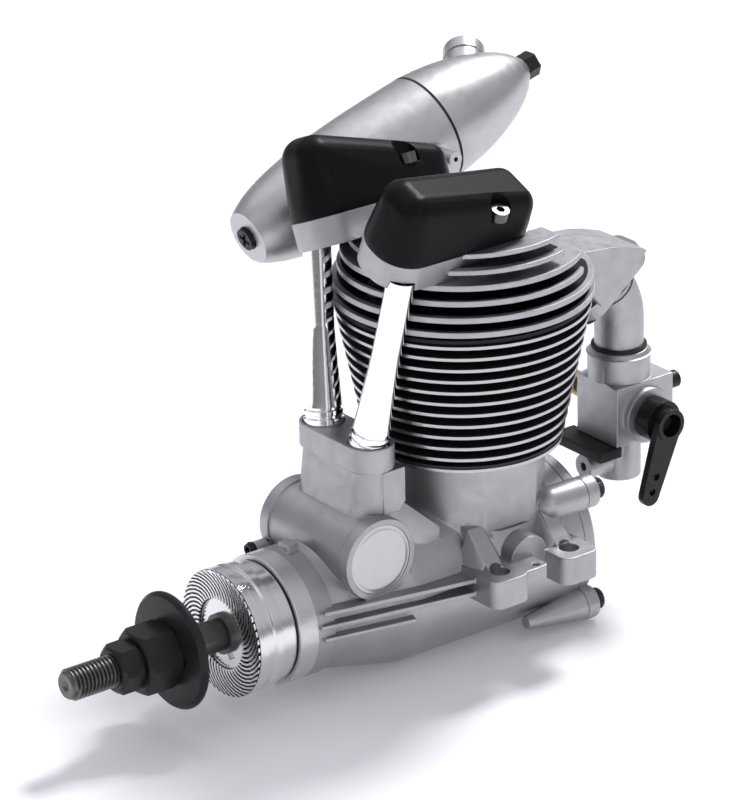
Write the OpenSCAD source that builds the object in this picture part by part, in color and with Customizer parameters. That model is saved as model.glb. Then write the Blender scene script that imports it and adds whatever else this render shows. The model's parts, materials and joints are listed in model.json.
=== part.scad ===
// Four-stroke glow engine for model aircraft: one cylinder, overhead valves.
// The origin is the crankshaft axis under the cylinder, level with the underside
// of the mounting lugs. The propeller end points along -Y, the throttle side is
// +X and the cylinder stands up along +Z. Sizes are in millimetres.
// Valve gear on the left is the mirror image of the right, the intake side.

/* [Cylinder and crank] */
// Bore of the liner
bore = 27.7; // [27:0.1:28]
// Travel of the piston
stroke = 24.8; // [24:0.1:25]
// Connecting rod length between its eyes
rod_length = 43; // [42.5:0.1:43.5]
// Wall of the liner
liner_wall = 1.6; // [1.4:0.1:1.7]
// Wall of the finned barrel round the liner
barrel_wall = 2.4; // [2:0.1:3]
// Radius of the crank chamber
chamber_r = 18; // [18:0.1:18.4]
// Wall of the crankcase
case_wall = 2.1; // [1.8:0.1:2.6]

/* [Fins] */
// Number of fins on the cylinder
fin_count = 12; // [11:1:12]
// Distance from fin to fin on the cylinder
fin_pitch = 3.13; // [3.1:0.01:3.16]
// Thickness of a cylinder fin at its rim
fin_rim = 0.85; // [0.6:0.05:1.1]
// Radius of the lowest fin
fin_low_r = 24.1; // [23:0.1:25]
// Growth of the fin radius for each millimetre of height
fin_taper = 0.205; // [0.18:0.005:0.21]
// Distance from fin to fin on the head
head_pitch = 3.6; // [3.5:0.05:3.7]
// Thickness of a head fin
head_fin = 1.5; // [1.2:0.1:1.8]

/* [Crankcase] */
// Height of the crankcase deck that the cylinder stands on
deck_z = 31.3; // [31:0.1:31.6]
// Radius of the round column under the deck
column_r = 19.7; // [19.3:0.1:20]
// Half width across the flats of the column
column_flat = 18.2; // [17.8:0.1:18.6]
// Front face of the nose
nose_front = -62.4; // [-62.8:0.1:-62]
// Length of the collar at the nose
collar_length = 10.4; // [9:0.1:12]
// Radius of the nose collar
collar_r = 16.2; // [15.8:0.1:16.6]
// Rear face of the crankcase
case_rear = 22; // [21.6:0.1:22.4]
// Thickness of the rear cover at its rim
cover_rim = 3.6; // [3:0.1:4]

/* [Mounting lugs] */
// Distance across the engine between the mounting holes
lug_span = 54; // [53:0.5:55]
// Distance along the crankshaft between the mounting holes
lug_pitch = 21.5; // [21:0.1:22]
// Radius of a mounting hole
lug_hole_r = 2.35; // [2:0.05:2.6]
// Thickness of a mounting lug
lug_thick = 7.3; // [6.5:0.1:8]
// Length of a mounting lug along the crankshaft
lug_length = 11.2; // [10.6:0.1:12]

/* [Propeller shaft] */
// Radius of the threaded shaft end
thread_r = 3.97; // [3.9:0.01:4.0]
// Tip of the threaded shaft
tip_y = -118.5; // [-121:0.5:-117]
// Front face of the propeller washer
washer_front = -90.1; // [-92:0.1:-89]
// Radius of the propeller washer
washer_r = 14.5; // [13:0.1:15.5]
// Gripping face of the drive washer
drive_face = -74.4; // [-75:0.1:-74]
// Radius of the drive washer
drive_r = 15.9; // [15.5:0.1:16.4]
// Number of curved teeth on the drive washer
drive_teeth = 50; // [40:1:60]

/* [Camshaft and gears] */
// Height of the camshaft above the crankshaft
cam_z = 15.2; // [15.1:0.05:15.4]
// Distance of the camshaft ahead of the cylinder
cam_y = -39.3; // [-39.6:0.1:-39]
// Teeth on the crankshaft gear, half of those on the camshaft gear
pinion_teeth = 12; // [10:1:14]
// Tip radius of the crankshaft gear
pinion_tip_r = 6.3; // [6.1:0.05:6.4]
// Tip radius of the camshaft gear
cam_gear_tip_r = 8.4; // [8.2:0.05:8.5]
// Base radius of a cam lobe
cam_base_r = 4.2; // [4:0.1:4.4]
// Lift of a cam lobe
cam_lift = 2.2; // [2:0.1:2.3]
// Radius of the rim at each end of the cam housing
cam_rim_r = 10.3; // [10.1:0.1:10.6]
// Half length of the cam housing
cam_half = 17.6; // [17.4:0.1:18]

/* [Valve gear] */
// Height of the tappet deck that the pushrod tubes stand on
tappet_deck = 42; // [41.8:0.1:42.2]
// Sideways distance of a pushrod tube at the tappet deck
tube_x = 9; // [8.9:0.1:9.1]
// Place of the pushrod tubes along the crankshaft at the tappet deck
tube_y = -35.7; // [-35.8:0.1:-35.6]
// Outward lean of a pushrod tube in degrees
tube_out = 10.08; // [10:0.02:10.2]
// Rearward lean of a pushrod tube in degrees
tube_back = 6.22; // [6.1:0.02:6.3]
// Outward tilt of the valves and rocker covers in degrees
valve_tilt = 23; // [22.8:0.1:23.2]
// Height at which the pushrod line meets the rocker cover joint
rocker_joint_z = 89.6; // [89.4:0.1:89.8]
// Radius of a valve head
valve_r = 5.5; // [5.2:0.1:5.6]
// Radius of a valve stem
stem_r = 1.4; // [1.2:0.05:1.6]
// Height of a rocker cover at its front, above its joint
rocker_cover_h = 16.6; // [15:0.1:17.5]
// Height of a rocker cover at its rear
rocker_cover_rear = 10.6; // [9:0.1:12]
// Outward shift of the left rocker cover and its box
left_cover_out = 2.8; // [0:0.1:3]
// Height that the left rocker cover has over the right one
left_cover_rise = 3; // [0:0.1:3.4]
// Wall of a rocker cover
rocker_cover_wall = 1.6; // [1.2:0.1:2]

/* [Intake and carburettor] */
// Distance of the intake pipe behind the cylinder axis
pipe_y = 49.4; // [49:0.1:50]
// Outer radius of the intake pipe
pipe_r = 6.2; // [6:0.05:6.3]
// Top of the carburettor block
carb_top = 34.2; // [33.8:0.1:34.6]
// Underside of the carburettor block
carb_low = 18.5; // [18:0.1:19]
// Width of the carburettor block across the engine
block_w = 15.5; // [15:0.1:16]
// Length of the carburettor block along the crankshaft
block_l = 18.4; // [18:0.1:19]
// Radius of the throat through the carburettor and its pipe
throat_r = 4; // [3.8:0.05:4.1]
// Height of the throttle barrel axis
barrel_z = 25.3; // [25.2:0.05:25.5]
// Radius of the throttle barrel
throttle_r = 5; // [4.8:0.05:5.2]
// Distance from the throttle pivot to the outer linkage hole
arm_reach = 17.5; // [15:0.1:19]

/* [Muffler] */
// Sideways place of the muffler axis
muffler_x = -46; // [-47:0.1:-45.6]
// Front end of the muffler axis along the crankshaft
muffler_y = -30.1; // [-31:0.1:-29]
// Front end of the muffler axis above the crankshaft
muffler_z = 76.4; // [76:0.1:76.8]
// Upward tilt of the muffler towards its rear in degrees
muffler_tilt = 15.95; // [15.6:0.05:16.2]
// Length of the front shell of the muffler
muffler_front_l = 56.7; // [55:0.1:58]
// Length of the rear shell of the muffler
muffler_rear_l = 33.1; // [32:0.1:34]
// Length of the pressure nipple from its seat
nipple_l = 8.7; // [8:0.1:10]
// Length of the outlet from the axis of the muffler
outlet_l = 20.5; // [19:0.5:22]
// Largest radius of the muffler
muffler_r = 14.3; // [14:0.1:14.6]
// Wall of the muffler
muffler_wall = 1.3; // [1:0.1:1.6]

/* [Fits] */
// Radial clearance of a running fit
run_gap = 0.05; // [0.03:0.01:0.08]
// Clearance between pieces that pass each other
pass_gap = 0.3; // [0.25:0.01:0.35]

/* [Hidden] */
$fn = 64;

// Colours
ALLOY = "silver";
BRIGHT = "gainsboro";
STEEL = "slategray";
BLACK = "#26262a";
BRASS = "goldenrod";

// Crank train
case_r = chamber_r + case_wall;
barrel_bore_r = bore / 2 + liner_wall;
barrel_r = barrel_bore_r + barrel_wall;
crank_throw = stroke / 2;
pin_z = crank_throw + rod_length;
rod_thick = 7;
crankpin_r = 3.25;
rod_big_r = 5.3;
web_r = chamber_r - 1;
web_front = -12.5;
web_rear = -6;
wrist_r = 2.5;
crown_over_pin = 9.6;
skirt_under_pin = 9;
chamber_front = -15.5;
// Rear end of the thread, just ahead of the lock nut's face, and its undercut
nuts_front = washer_front - 15.6;
thread_rear = nuts_front - 0.3;
undercut = 0.8;
// Shoulder of the shaft that stands out of the drive washer
shoulder = drive_face - 0.4;
// Turn of the key that holds the drive washer
key_turn = 150;

// Bearings: bore, outer radius, front and rear face, ball circle and ball radius
front_brg = [5, 9.5, nose_front + 1.2, nose_front + 7.2, 7.25, 1.5];
main_brg = [7.5, 14, chamber_front - 8, chamber_front - 1, 10.75, 2.3];
gear_bore_r = 7.2;
shaft_mid_r = 4.9;

// Deck, fins and head
fin_top = deck_z + (fin_count - 1) * fin_pitch + fin_rim;
head_z = fin_top + 0.2;
liner_low = deck_z - 7.3;
first_head_fin = head_z + 2.2;
head_fin_r = [31.9, 31.7, 30.2, 29.4, 27.6, 25.6];
fin_rear_y = 17.6;
dome_rise = 5.5;
dome_base_r = bore / 2 - 0.35;
dome_r = (pow(dome_base_r, 2) + pow(dome_rise, 2)) / (2 * dome_rise);
dome_z = head_z + dome_rise - dome_r;
head_core_r = 22;
head_core_top = first_head_fin + 3 * head_pitch + 0.6;

// Pushrod line on the right: it passes the tappet deck and the rocker joint
line_dx = tan(tube_out);
line_dy = tan(tube_back);
function push_at(z) = [tube_x + (z - tappet_deck) * line_dx,
                       tube_y + (z - tappet_deck) * line_dy, z];
line_len = norm([line_dx, line_dy, 1]);
line_tilt = acos(1 / line_len);
line_turn = atan2(line_dy, line_dx);
rocker_o = push_at(rocker_joint_z);

// Rocker frame: u is outward, v is rearward, w is up along the valves
tilt_s = sin(valve_tilt);
tilt_c = cos(valve_tilt);
function u_of(p) = (p.x - rocker_o.x) * tilt_c - (p.z - rocker_o.z) * tilt_s;
function w_of(p) = (p.x - rocker_o.x) * tilt_s + (p.z - rocker_o.z) * tilt_c;
dome_c = [0, 0, dome_z];
valve_u = u_of(dome_c);
valve_v = -rocker_o.y;
valve_face = w_of(dome_c) + sqrt(pow(dome_r, 2) - pow(valve_r, 2));
cover_u = [-14.2, 4.4];
cover_v = [-6.2, 37.4];
cover_corner = 8.5;
slot_v = 24;
cover_seat = 7;
slot_right_u = cover_u[1] - 2.4;
slot_left_u = cover_u[0] + 2.4;
box_depth = 7;
box_floor = 2;
box_wall = 1.8;
pivot_v = valve_v / 2 + 0.25;
pivot_w = 3.2;
rocker_shaft_r = 2;
rocker_thick = 4;
rocker_mid = valve_u / 2 - 0.37;
rocker_pad_r = 1.8;
ball_r = 1.6;
ball_w = -0.5;
valve_tip = 1.6;
spring_r = 3.9;
spring_seat = -10.2;
retainer_w = -1.8;
guide_len = 4;

// Tappets and tubes
tappet_r = 3;
tappet_low = cam_z + cam_base_r + cam_lift + 0.8;
tappet_top = 36;
rod_r = 1.1;
tube_bore_r = 2.4;
tube_out_r = 3.5;
tube_end_z = rocker_joint_z - 5.4;
tube_foot_r = 5;
tube_seat_z = tappet_deck - 1.15;
seal_thick = 0.4;
tappet_column_r = 6;

// Lugs and strakes
lug_x = lug_span / 2;
lug_y = lug_pitch / 2;
lug_outer = lug_x + 5.6;
lug_corner = 3;
strake_z = [5.4, 2, -1.4];
strake_thick = 1.2;

// Breather nipple: its sideways place and its height
breather_at = [-15.7, 10.5];
breather_r = 1.7;
breather_neck_r = 1.45;
breather_seat = -49.4;

// Rear cover screws
rear_screw_x = 17.2;
rear_screw_z = 15;
rear_boss_r = 4.2;
screw_r = 1.45;
screw_head_r = 2.75;
screw_head_h = 3;

// Head screws
head_screw_at = [[0, -25.2], [13.2, 20.6], [-13.2, 20.6]];
head_screw_boss = 3.1;
head_screw_seat = first_head_fin + head_pitch + head_fin + 0.2;

// Intake neck and its sloping joint
joint_tilt = 37.7;
joint_y = 43;
joint_z = 62.7;
neck_half = 8.6;
intake_screw_v = [-9, 9];
intake_screw_r = 2.5;
pipe_bend_r = 14;
bend_start = (pipe_y - joint_y - pipe_bend_r * (1 - cos(joint_tilt))) / sin(joint_tilt);
idle_screw_at = [5.4, 31];
block_rear = pipe_y - 7.4 + block_l;
bend_low = joint_z - bend_start * cos(joint_tilt) - pipe_bend_r * sin(joint_tilt);

// Glow plug: where its axis meets the chamber, its tilt and its direction
plug_at = [-3, 9, 71];
plug_tilt = 42;
plug_turn = 132;
plug_r = 3.15;
plug_hex_r = 4.6;
plug_seat = 8.4;

// Places on the muffler axis, measured from its front end
header_s = 28;
header_r = 5;
header_in = -19;
header_out = muffler_x + 7;
header_nut = -23.6;
header_nut_r = 7.2;
outlet_s = muffler_front_l + 14.3;
outlet_dir = [-0.75, 0.56, 0.35];
nipple_s = muffler_front_l - 6.7;
nipple_turn = 86;

// Round bar along X
module rod_x(x0, x1, r) {
    translate([x0, 0, 0]) rotate([0, 90, 0]) cylinder(h = x1 - x0, r = r);
}

// Round bar along Y
module rod_y(y0, y1, r) {
    translate([0, y0, 0]) rotate([-90, 0, 0]) cylinder(h = y1 - y0, r = r);
}

// Cone along Y
module cone_y(y0, y1, r0, r1) {
    translate([0, y0, 0]) rotate([-90, 0, 0]) cylinder(h = y1 - y0, r1 = r0, r2 = r1);
}

// Turned body about Y from points of [radius, y]
module turned_y(points) {
    rotate([-90, 0, 0]) rotate_extrude() polygon(points);
}

// Upright plate with round corners between two corner points
module plate(x0, y0, x1, y1, r, h) {
    linear_extrude(h) round_rect(x0, y0, x1, y1, r);
}

module round_rect(x0, y0, x1, y1, r) {
    translate([x0 + r, y0]) square([x1 - x0 - 2 * r, y1 - y0]);
    translate([x0, y0 + r]) square([x1 - x0, y1 - y0 - 2 * r]);
    for (x = [x0 + r, x1 - r], y = [y0 + r, y1 - r]) translate([x, y]) circle(r);
}

// Socket head cap screw: head up from z = 0, shank down
module cap_screw(head_r, head_h, shank_r, shank_l) {
    difference() {
        cylinder(h = head_h, r = head_r);
        translate([0, 0, head_h * 0.45]) cylinder(h = head_h, r = head_r * 0.5, $fn = 6);
    }
    translate([0, 0, -shank_l]) cylinder(h = shank_l + 0.01, r = shank_r);
}

// Puts the child's Z axis on the right pushrod line at height z
module on_push(z) {
    translate(push_at(z)) rotate([0, line_tilt, line_turn]) children();
}

// Rocker frame of one side
module rocker_side(right) {
    mirror([right ? 0 : 1, 0, 0])
        translate(rocker_o) rotate([0, valve_tilt, 0]) children();
}

// Rocker frame of one side, moved to where its cover sits
module cover_side(right) {
    rocker_side(right) translate([right ? 0 : left_cover_out, 0, 0]) children();
}

// One side of the pair
module on_side(right) {
    mirror([right ? 0 : 1, 0, 0]) children();
}

// Frame of the muffler: Y runs along its axis from the front end
module muffler_frame() {
    translate([muffler_x, muffler_y, muffler_z]) rotate([muffler_tilt, 0, 0]) children();
}

// Frame of the sloping intake joint: Z points out of the head towards the pipe
module joint_frame() {
    translate([0, joint_y, joint_z]) rotate([-180 + joint_tilt, 0, 0]) children();
}

// Curved gripping teeth of the drive washer, as flat outlines
module swirl_teeth(r0, r1, count, height) {
    steps = 5;
    sweep = 34;
    function arm_point(t, side) =
        let (r = r0 + (r1 - r0) * t, half = 360 / count * 0.27,
             a = sweep * pow(t, 1.6) + side * half)
        [r * cos(a), r * sin(a)];
    linear_extrude(height)
        for (i = [0:count - 1]) rotate(i * 360 / count)
            polygon(concat([for (k = [0:steps]) arm_point(k / steps, 1)],
                           [for (k = [steps:-1:0]) arm_point(k / steps, -1)]));
}

// Straight-flanked gear blank with helical teeth about Z, centred on z = 0
module helical_gear(tip_r, teeth, width, twist) {
    root_r = tip_r - 1.5;
    points = [for (i = [0:teeth - 1], k = [0:3])
        let (a = 360 / teeth * (i + [0, 0.28, 0.42, 0.86][k]),
             r = [tip_r, tip_r, root_r, root_r][k])
        [r * cos(a), r * sin(a)]];
    translate([0, 0, -width / 2])
        linear_extrude(height = width, twist = twist, slices = 4) polygon(points);
}

// Ball bearing outer ring with its balls, and the inner ring
module bearing_outer(b) {
    translate([0, b[2], 0]) difference() {
        rod_y(0, b[3] - b[2], b[1]);
        rod_y(-1, b[3] - b[2] + 1, b[4] + b[5] * 0.55);
        translate([0, (b[3] - b[2]) / 2, 0]) rotate([-90, 0, 0])
            rotate_extrude() translate([b[4], 0]) circle(b[5] + 0.02, $fn = 32);
    }
    count = floor(3.14159 * 2 * b[4] / (b[5] * 2.6));
    for (i = [0:count - 1]) rotate([0, i * 360 / count, 0])
        translate([b[4], (b[2] + b[3]) / 2, 0]) sphere(b[5], $fn = 24);
}

module bearing_inner(b) {
    difference() {
        rod_y(b[2], b[3], b[4] - b[5] * 0.55);
        rod_y(b[2] - 1, b[3] + 1, b[0]);
        translate([0, (b[2] + b[3]) / 2, 0]) rotate([-90, 0, 0])
            rotate_extrude() translate([b[4], 0]) circle(b[5] + 0.12, $fn = 32);
    }
}

// Crankcase in one casting: nose, cam housing, column, lugs and strakes
module crankcase() {
    color(ALLOY) difference() {
        union() {
            rod_y(nose_front, nose_front + collar_length, collar_r);
            cone_y(nose_front + collar_length - 0.1, -29, 15.3, case_r);
            rod_y(-29, case_rear, case_r);
            cam_housing();
            tappet_column();
            column();
            for (s = [-1, 1]) {
                lug_pair(s);
                strakes(s);
                rear_bosses(s);
            }
            nose_tab();
        }
        case_hollow();
        lug_holes();
        rear_screw_holes();
        cam_bores();
        tappet_bores();
        translate([breather_at.x, 0, breather_at.y]) rod_y(-52, -44, breather_neck_r);
    }
}

module cam_housing() {
    translate([0, cam_y, cam_z]) {
        rod_x(-cam_half, cam_half, cam_rim_r - 0.5);
        for (s = [-1, 1]) translate([s > 0 ? cam_half - 3.4 : -cam_half, 0, 0])
            rod_x(0, 3.4, cam_rim_r);
    }
}

module tappet_column() {
    flange = 6.2;
    hull() for (s = [-1, 1])
        translate([s * tube_x, tube_y, tappet_deck - flange])
            cylinder(h = flange, r = tappet_column_r, $fn = 32);
    hull() {
        for (s = [-1, 1]) translate([s * tube_x * 0.96, tube_y, tappet_deck - flange - 0.5])
            cylinder(h = 1, r = tappet_column_r - 0.7, $fn = 32);
        for (s = [-1, 1]) translate([s * tube_x * 0.92, tube_y - 1.8, cam_z + 2])
            cylinder(h = 1, r = tappet_column_r - 0.2, $fn = 32);
    }
    for (right = [true, false]) on_side(right) tappet_ear(tappet_deck - flange - 0.3);
    hull() {
        translate([-11.5, tube_y, cam_z]) cube([23, 6.7, 11]);
        translate([-14.5, -24, 8]) cube([29, 5, 9]);
    }
}

// Ear behind the tappet column that a cover bolt goes through
module tappet_ear(top) {
    rear = tube_y + 6.7;
    translate([9.2, 0, 0]) rotate([90, 0, 90]) linear_extrude(5)
        polygon([[tube_y, top - 11], [rear - 2, top - 11], [rear, top - 9], [rear, top], [tube_y, top]]);
}

module column() {
    intersection() {
        translate([0, 0, 6]) cylinder(h = deck_z - 6, r = column_r);
        translate([-column_flat, -25, 0]) cube([2 * column_flat, 50, deck_z]);
    }
    translate([0, 0, 3]) cylinder(h = 10, r1 = 22.5, r2 = column_r - 0.6);
}

module lug_pair(s) {
    on_side(s > 0) {
        for (t = [-1, 1]) {
            plate(10, t * lug_y - lug_length / 2, lug_outer, t * lug_y + lug_length / 2,
                  lug_corner, lug_thick);
            gusset(t);
        }
        translate([0, 0, lug_thick - 3.6]) plate(14, -lug_y, 31.5, 1, 1.5, 3.6);
        translate([0, 0.5, 6.5]) rod_x(10, 24.5, 5.7);
    }
}

module gusset(t) {
    y = t * lug_y;
    translate([0, y + 2.2, 0]) rotate([90, 0, 0]) linear_extrude(4.4)
        polygon([[12, 4], [25.5, lug_thick - 0.5], [25.5, lug_thick], [17.5, 15.5], [12, 15.5]]);
}

module strakes(s) {
    on_side(s > 0) for (i = [0:2]) {
        front = nose_front + 5.5 + abs(i - 1) * 1;
        rear = i == 2 ? -32 : -15;
        out_rear = 17 + (rear + 57) * 0.19;
        translate([0, 0, strake_z[i] - strake_thick / 2]) linear_extrude(strake_thick)
            polygon([[6, front + 6], [14.5, front + 1.5], [17, front], [out_rear, rear], [6, rear + 4]]);
    }
}

module rear_bosses(s) {
    for (t = [-1, 1]) translate([s * rear_screw_x, 0, t * rear_screw_z]) {
        if (t > 0) rod_y(12.5, case_rear, rear_boss_r);
        else cone_y(5, case_rear, 1.6, rear_boss_r);
        if (t > 0) translate([0, 12.5, 0]) sphere(rear_boss_r);
    }
}

module nose_tab() {
    translate([-2, nose_front + collar_length - 3.4, collar_r - 1.5]) cube([4, 3.4, 3.2]);
}

module case_hollow() {
    rod_y(nose_front - 1, front_brg[3], front_brg[1]);
    rod_y(front_brg[3] - 1, main_brg[2] + 0.1, gear_bore_r);
    rod_y(main_brg[2] - 0.3, main_brg[2] + 0.1, main_brg[4]);
    rod_y(main_brg[2], chamber_front + 0.1, main_brg[1]);
    rod_y(chamber_front, case_rear + 1, chamber_r);
    cylinder(h = deck_z + 1, r = barrel_bore_r);
}

module lug_holes() {
    for (x = [-lug_x, lug_x], y = [-lug_y, lug_y])
        translate([x, y, -1]) cylinder(h = lug_thick + 2, r = lug_hole_r);
    for (s = [-1, 1]) translate([s * 29.5, -1.6, 0]) cylinder(h = 10, r = 0.9);
}

module rear_screw_holes() {
    for (x = [-rear_screw_x, rear_screw_x], z = [-rear_screw_z, rear_screw_z])
        translate([x, 0, z]) rod_y(case_rear - 8, case_rear + 1, screw_r);
}

module cam_bores() {
    translate([0, cam_y, cam_z]) {
        rod_x(-cam_half - 1, cam_half + 1, cam_gear_tip_r + 0.25);
    }
}

module tappet_bores() {
    for (right = [true, false]) on_side(right) {
        on_push(cam_z + 4) cylinder(h = tappet_deck - cam_z, r = tappet_r + run_gap);
        on_push(tube_seat_z) rotate(100) cylinder(h = 8, r = tube_foot_r + 0.15);
    }
}

// Hollow fitting for the crankcase breather hose
module breather_nipple() {
    color(ALLOY) difference() {
        translate([breather_at.x, 0, breather_at.y]) difference() {
            union() {
                rod_y(-53.5, breather_seat, breather_r);
                rod_y(breather_seat - 0.01, -44.5, breather_neck_r);
                cone_y(-54.6, -53.5, 1.5, breather_r + 0.2);
            }
            rod_y(-56, -44, 0.9);
        }
        translate([0, cam_y, cam_z]) rod_x(-20, -10, cam_gear_tip_r + 0.27);
    }
}

// Rear cover with its plug and four screw ears
module rear_cover() {
    back = case_rear + cover_rim;
    color(ALLOY) difference() {
        union() {
            rod_y(case_rear, back - 0.8, case_r);
            cone_y(back - 0.8, back, case_r, case_r - 0.8);
            for (x = [-rear_screw_x, rear_screw_x], z = [-rear_screw_z, rear_screw_z])
                translate([x, 0, z]) rod_y(case_rear, back, rear_boss_r);
            rod_y(case_rear - 2.4, case_rear + 0.5, chamber_r - 0.1);
            cone_y(back - 0.01, back + 1.6, 13.5, 11);
        }
        for (x = [-rear_screw_x, rear_screw_x], z = [-rear_screw_z, rear_screw_z])
            translate([x, 0, z]) rod_y(case_rear - 1, back + 1, screw_r);
        rod_y(case_rear - 3, case_rear + 1.2, chamber_r - 2.2);
        rod_y(back + 0.6, back + 3, 9);
    }
}

module rear_cover_screws() {
    color(BLACK)
        for (x = [-rear_screw_x, rear_screw_x], z = [-rear_screw_z, rear_screw_z])
            translate([x, case_rear + cover_rim, z]) rotate([-90, 0, 0])
                cap_screw(screw_head_r, screw_head_h, screw_r, 8);
}

// Pressed and domed cover in each end of the cam housing
module cam_cover(right) {
    r = cam_gear_tip_r + 0.25;
    on_side(right) translate([cam_half - 1.6, cam_y, cam_z]) rotate([0, 90, 0]) {
        cylinder(h = 1.3, r = r);
        translate([0, 0, 1.3]) cylinder(h = 0.35, r1 = r - 0.35, r2 = r - 1.6);
    }
}

module cam_cover_right() { color(ALLOY) cam_cover(true); }
module cam_cover_left() { color(ALLOY) cam_cover(false); }

// Plain bushes that carry the camshaft, one in each end of the housing
module cam_bearings() {
    color(BRASS) for (right = [true, false])
        on_side(right) translate([9.2, cam_y, cam_z]) difference() {
            rod_x(0, 4.6, cam_gear_tip_r + 0.25);
            rod_x(-1, 6, 3 + run_gap);
        }
}

module main_bearing() { color(STEEL) bearing_outer(main_brg); }
module main_bearing_inner() { color(STEEL) bearing_inner(main_brg); }
module front_bearing() { color(STEEL) bearing_outer(front_brg); }
module front_bearing_inner() { color(STEEL) bearing_inner(front_brg); }

// Crankshaft with propeller thread, camshaft pinion, web and short crankpin.
// The pin ends just ahead of the rod's eye, where the linkage is opened.
module crankshaft() {
    color(STEEL) {
        difference() {
            union() {
                cone_y(tip_y, tip_y + 0.7, thread_r - 0.7, thread_r);
                rod_y(tip_y + 0.69, thread_rear, thread_r);
                rod_y(thread_rear - 0.01, thread_rear + undercut + 0.01, thread_r - 0.6);
                rod_y(thread_rear + undercut, shoulder + 0.1, thread_r);
                rod_y(shoulder, front_brg[3] + 1, front_brg[0]);
                rod_y(front_brg[3] + 0.9, main_brg[2] + 0.6, shaft_mid_r);
                rod_y(main_brg[2] + 0.5, web_front + 0.1, main_brg[0]);
            }
            cone_y(tip_y - 0.01, tip_y + 1.4, 1.3, 0.3);
            rotate([0, key_turn, 0]) translate([-1.2, drive_face + 1, front_brg[0] - 1.4]) cube([2.4, 8, 4]);
        }
        translate([0, cam_y, 0]) rotate([-90, 0, 0])
            helical_gear(pinion_tip_r, pinion_teeth, 6, 24);
        crank_web();
        translate([0, 0, crank_throw]) rod_y(web_rear - 0.1, -rod_thick / 2 - pass_gap, crankpin_r);
    }
}

module crank_web() {
    difference() {
        rod_y(web_front, web_rear, web_r);
        for (s = [-1, 1]) translate([s * 17.5 - 11, web_front - 1, -3])
            cube([22, web_rear - web_front + 2, 30]);
    }
}

// Drive washer with its curved gripping teeth
module drive_washer() {
    color(BRIGHT) {
        difference() {
            turned_y([
                [0, drive_face + 1], [8.6, drive_face + 1], [8.6, drive_face + 0.6],
                [drive_r, drive_face + 0.6], [drive_r, drive_face + 3.2],
                [drive_r - 0.6, drive_face + 3.5], [drive_r - 0.6, drive_face + 5],
                [drive_r - 0.1, drive_face + 5.4], [drive_r - 0.1, drive_face + 7.6],
                [drive_r - 0.9, drive_face + 8], [drive_r - 0.9, nose_front - 0.4],
                [0, nose_front - 0.4]
            ]);
            rod_y(drive_face - 1, nose_front, front_brg[0] + 0.02);
            rotate([0, key_turn, 0]) translate([-1.2, drive_face + 0.5, 0]) cube([2.4, 9, front_brg[0] + 1.6]);
        }
        translate([0, drive_face + 0.6, 0]) rotate([90, 0, 0])
            swirl_teeth(8.8, drive_r - 0.2, drive_teeth, 0.6);
    }
}

module drive_key() {
    color(STEEL) rotate([0, key_turn, 0])
        translate([-1.15, drive_face + 1.2, front_brg[0] - 1.3]) cube([2.3, 7.6, 2.8]);
}

// Dished washer that clamps the propeller
module prop_washer() {
    color(BLACK) difference() {
        turned_y([
            [0, washer_front], [8.5, washer_front], [washer_r - 0.8, washer_front + 0.5],
            [washer_r, washer_front + 1.3], [washer_r, washer_front + 2.2],
            [washer_r - 0.6, washer_front + 2.8], [0, washer_front + 2.8]
        ]);
        rod_y(washer_front - 1, washer_front + 4, thread_r + 0.02);
    }
}

// Hexagon nut about Y with chamfered corners
module hex_nut(y0, y1, flats, bore_r) {
    corner = flats / 2 / cos(30);
    color(BLACK) difference() {
        intersection() {
            translate([0, y0, 0]) rotate([-90, 0, 0]) cylinder(h = y1 - y0, r = corner, $fn = 6);
            union() {
                cone_y(y0, y0 + 1.2, corner - 1.4, corner + 0.01);
                rod_y(y0 + 1.19, y1 - 0.79, corner + 0.01);
                cone_y(y1 - 0.8, y1, corner + 0.01, corner - 0.9);
            }
        }
        rod_y(y0 - 1, y1 + 1, bore_r);
    }
}

module prop_nut() { hex_nut(washer_front - 9.4, washer_front, 14.6, thread_r + 0.02); }
module lock_nut() { hex_nut(nuts_front, washer_front - 9.4, 11, thread_r + 0.02); }

// Camshaft across the nose: gear, two lobes and journals in one piece
module camshaft() {
    color(STEEL) translate([0, cam_y, cam_z]) {
        rod_x(-13.4, 13.4, 3);
        rotate([0, 90, 0]) helical_gear(cam_gear_tip_r, 2 * pinion_teeth, 4.6, -18);
        cam_lobe(5.2, 200);
        cam_lobe(-5.2, -40);
    }
}

module cam_lobe(x, angle) {
    nose_r = 1.8;
    translate([x - 2, 0, 0]) rotate([angle, 0, 0]) rotate([90, 0, 90]) linear_extrude(4) union() {
        circle(cam_base_r);
        translate([0, cam_base_r + cam_lift - nose_r]) circle(nose_r);
        polygon([[-cam_base_r * 0.93, 1.5], [cam_base_r * 0.93, 1.5],
                 [nose_r * 0.93, cam_base_r + cam_lift - nose_r + 0.65],
                 [-nose_r * 0.93, cam_base_r + cam_lift - nose_r + 0.65]]);
    }
}

module tappet(right) {
    length = (tappet_top - tappet_low) * line_len;
    on_side(right) on_push(tappet_low) cylinder(h = length, r = tappet_r);
}

module intake_tappet() { color(STEEL) tappet(true); }
module exhaust_tappet() { color(STEEL) tappet(false); }

// Pushrod with a round end under its rocker
module pushrod(right) {
    ball = [0, 0, ball_w];
    top_z = rocker_joint_z + (ball_w / (tilt_c + tilt_s * line_dx));
    length = (top_z - tappet_top) * line_len;
    on_side(right) {
        on_push(tappet_top) cylinder(h = length, r = rod_r);
        translate(push_at(top_z)) sphere(ball_r);
    }
}

module intake_pushrod() { color(STEEL) pushrod(true); }
module exhaust_pushrod() { color(STEEL) pushrod(false); }

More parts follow.
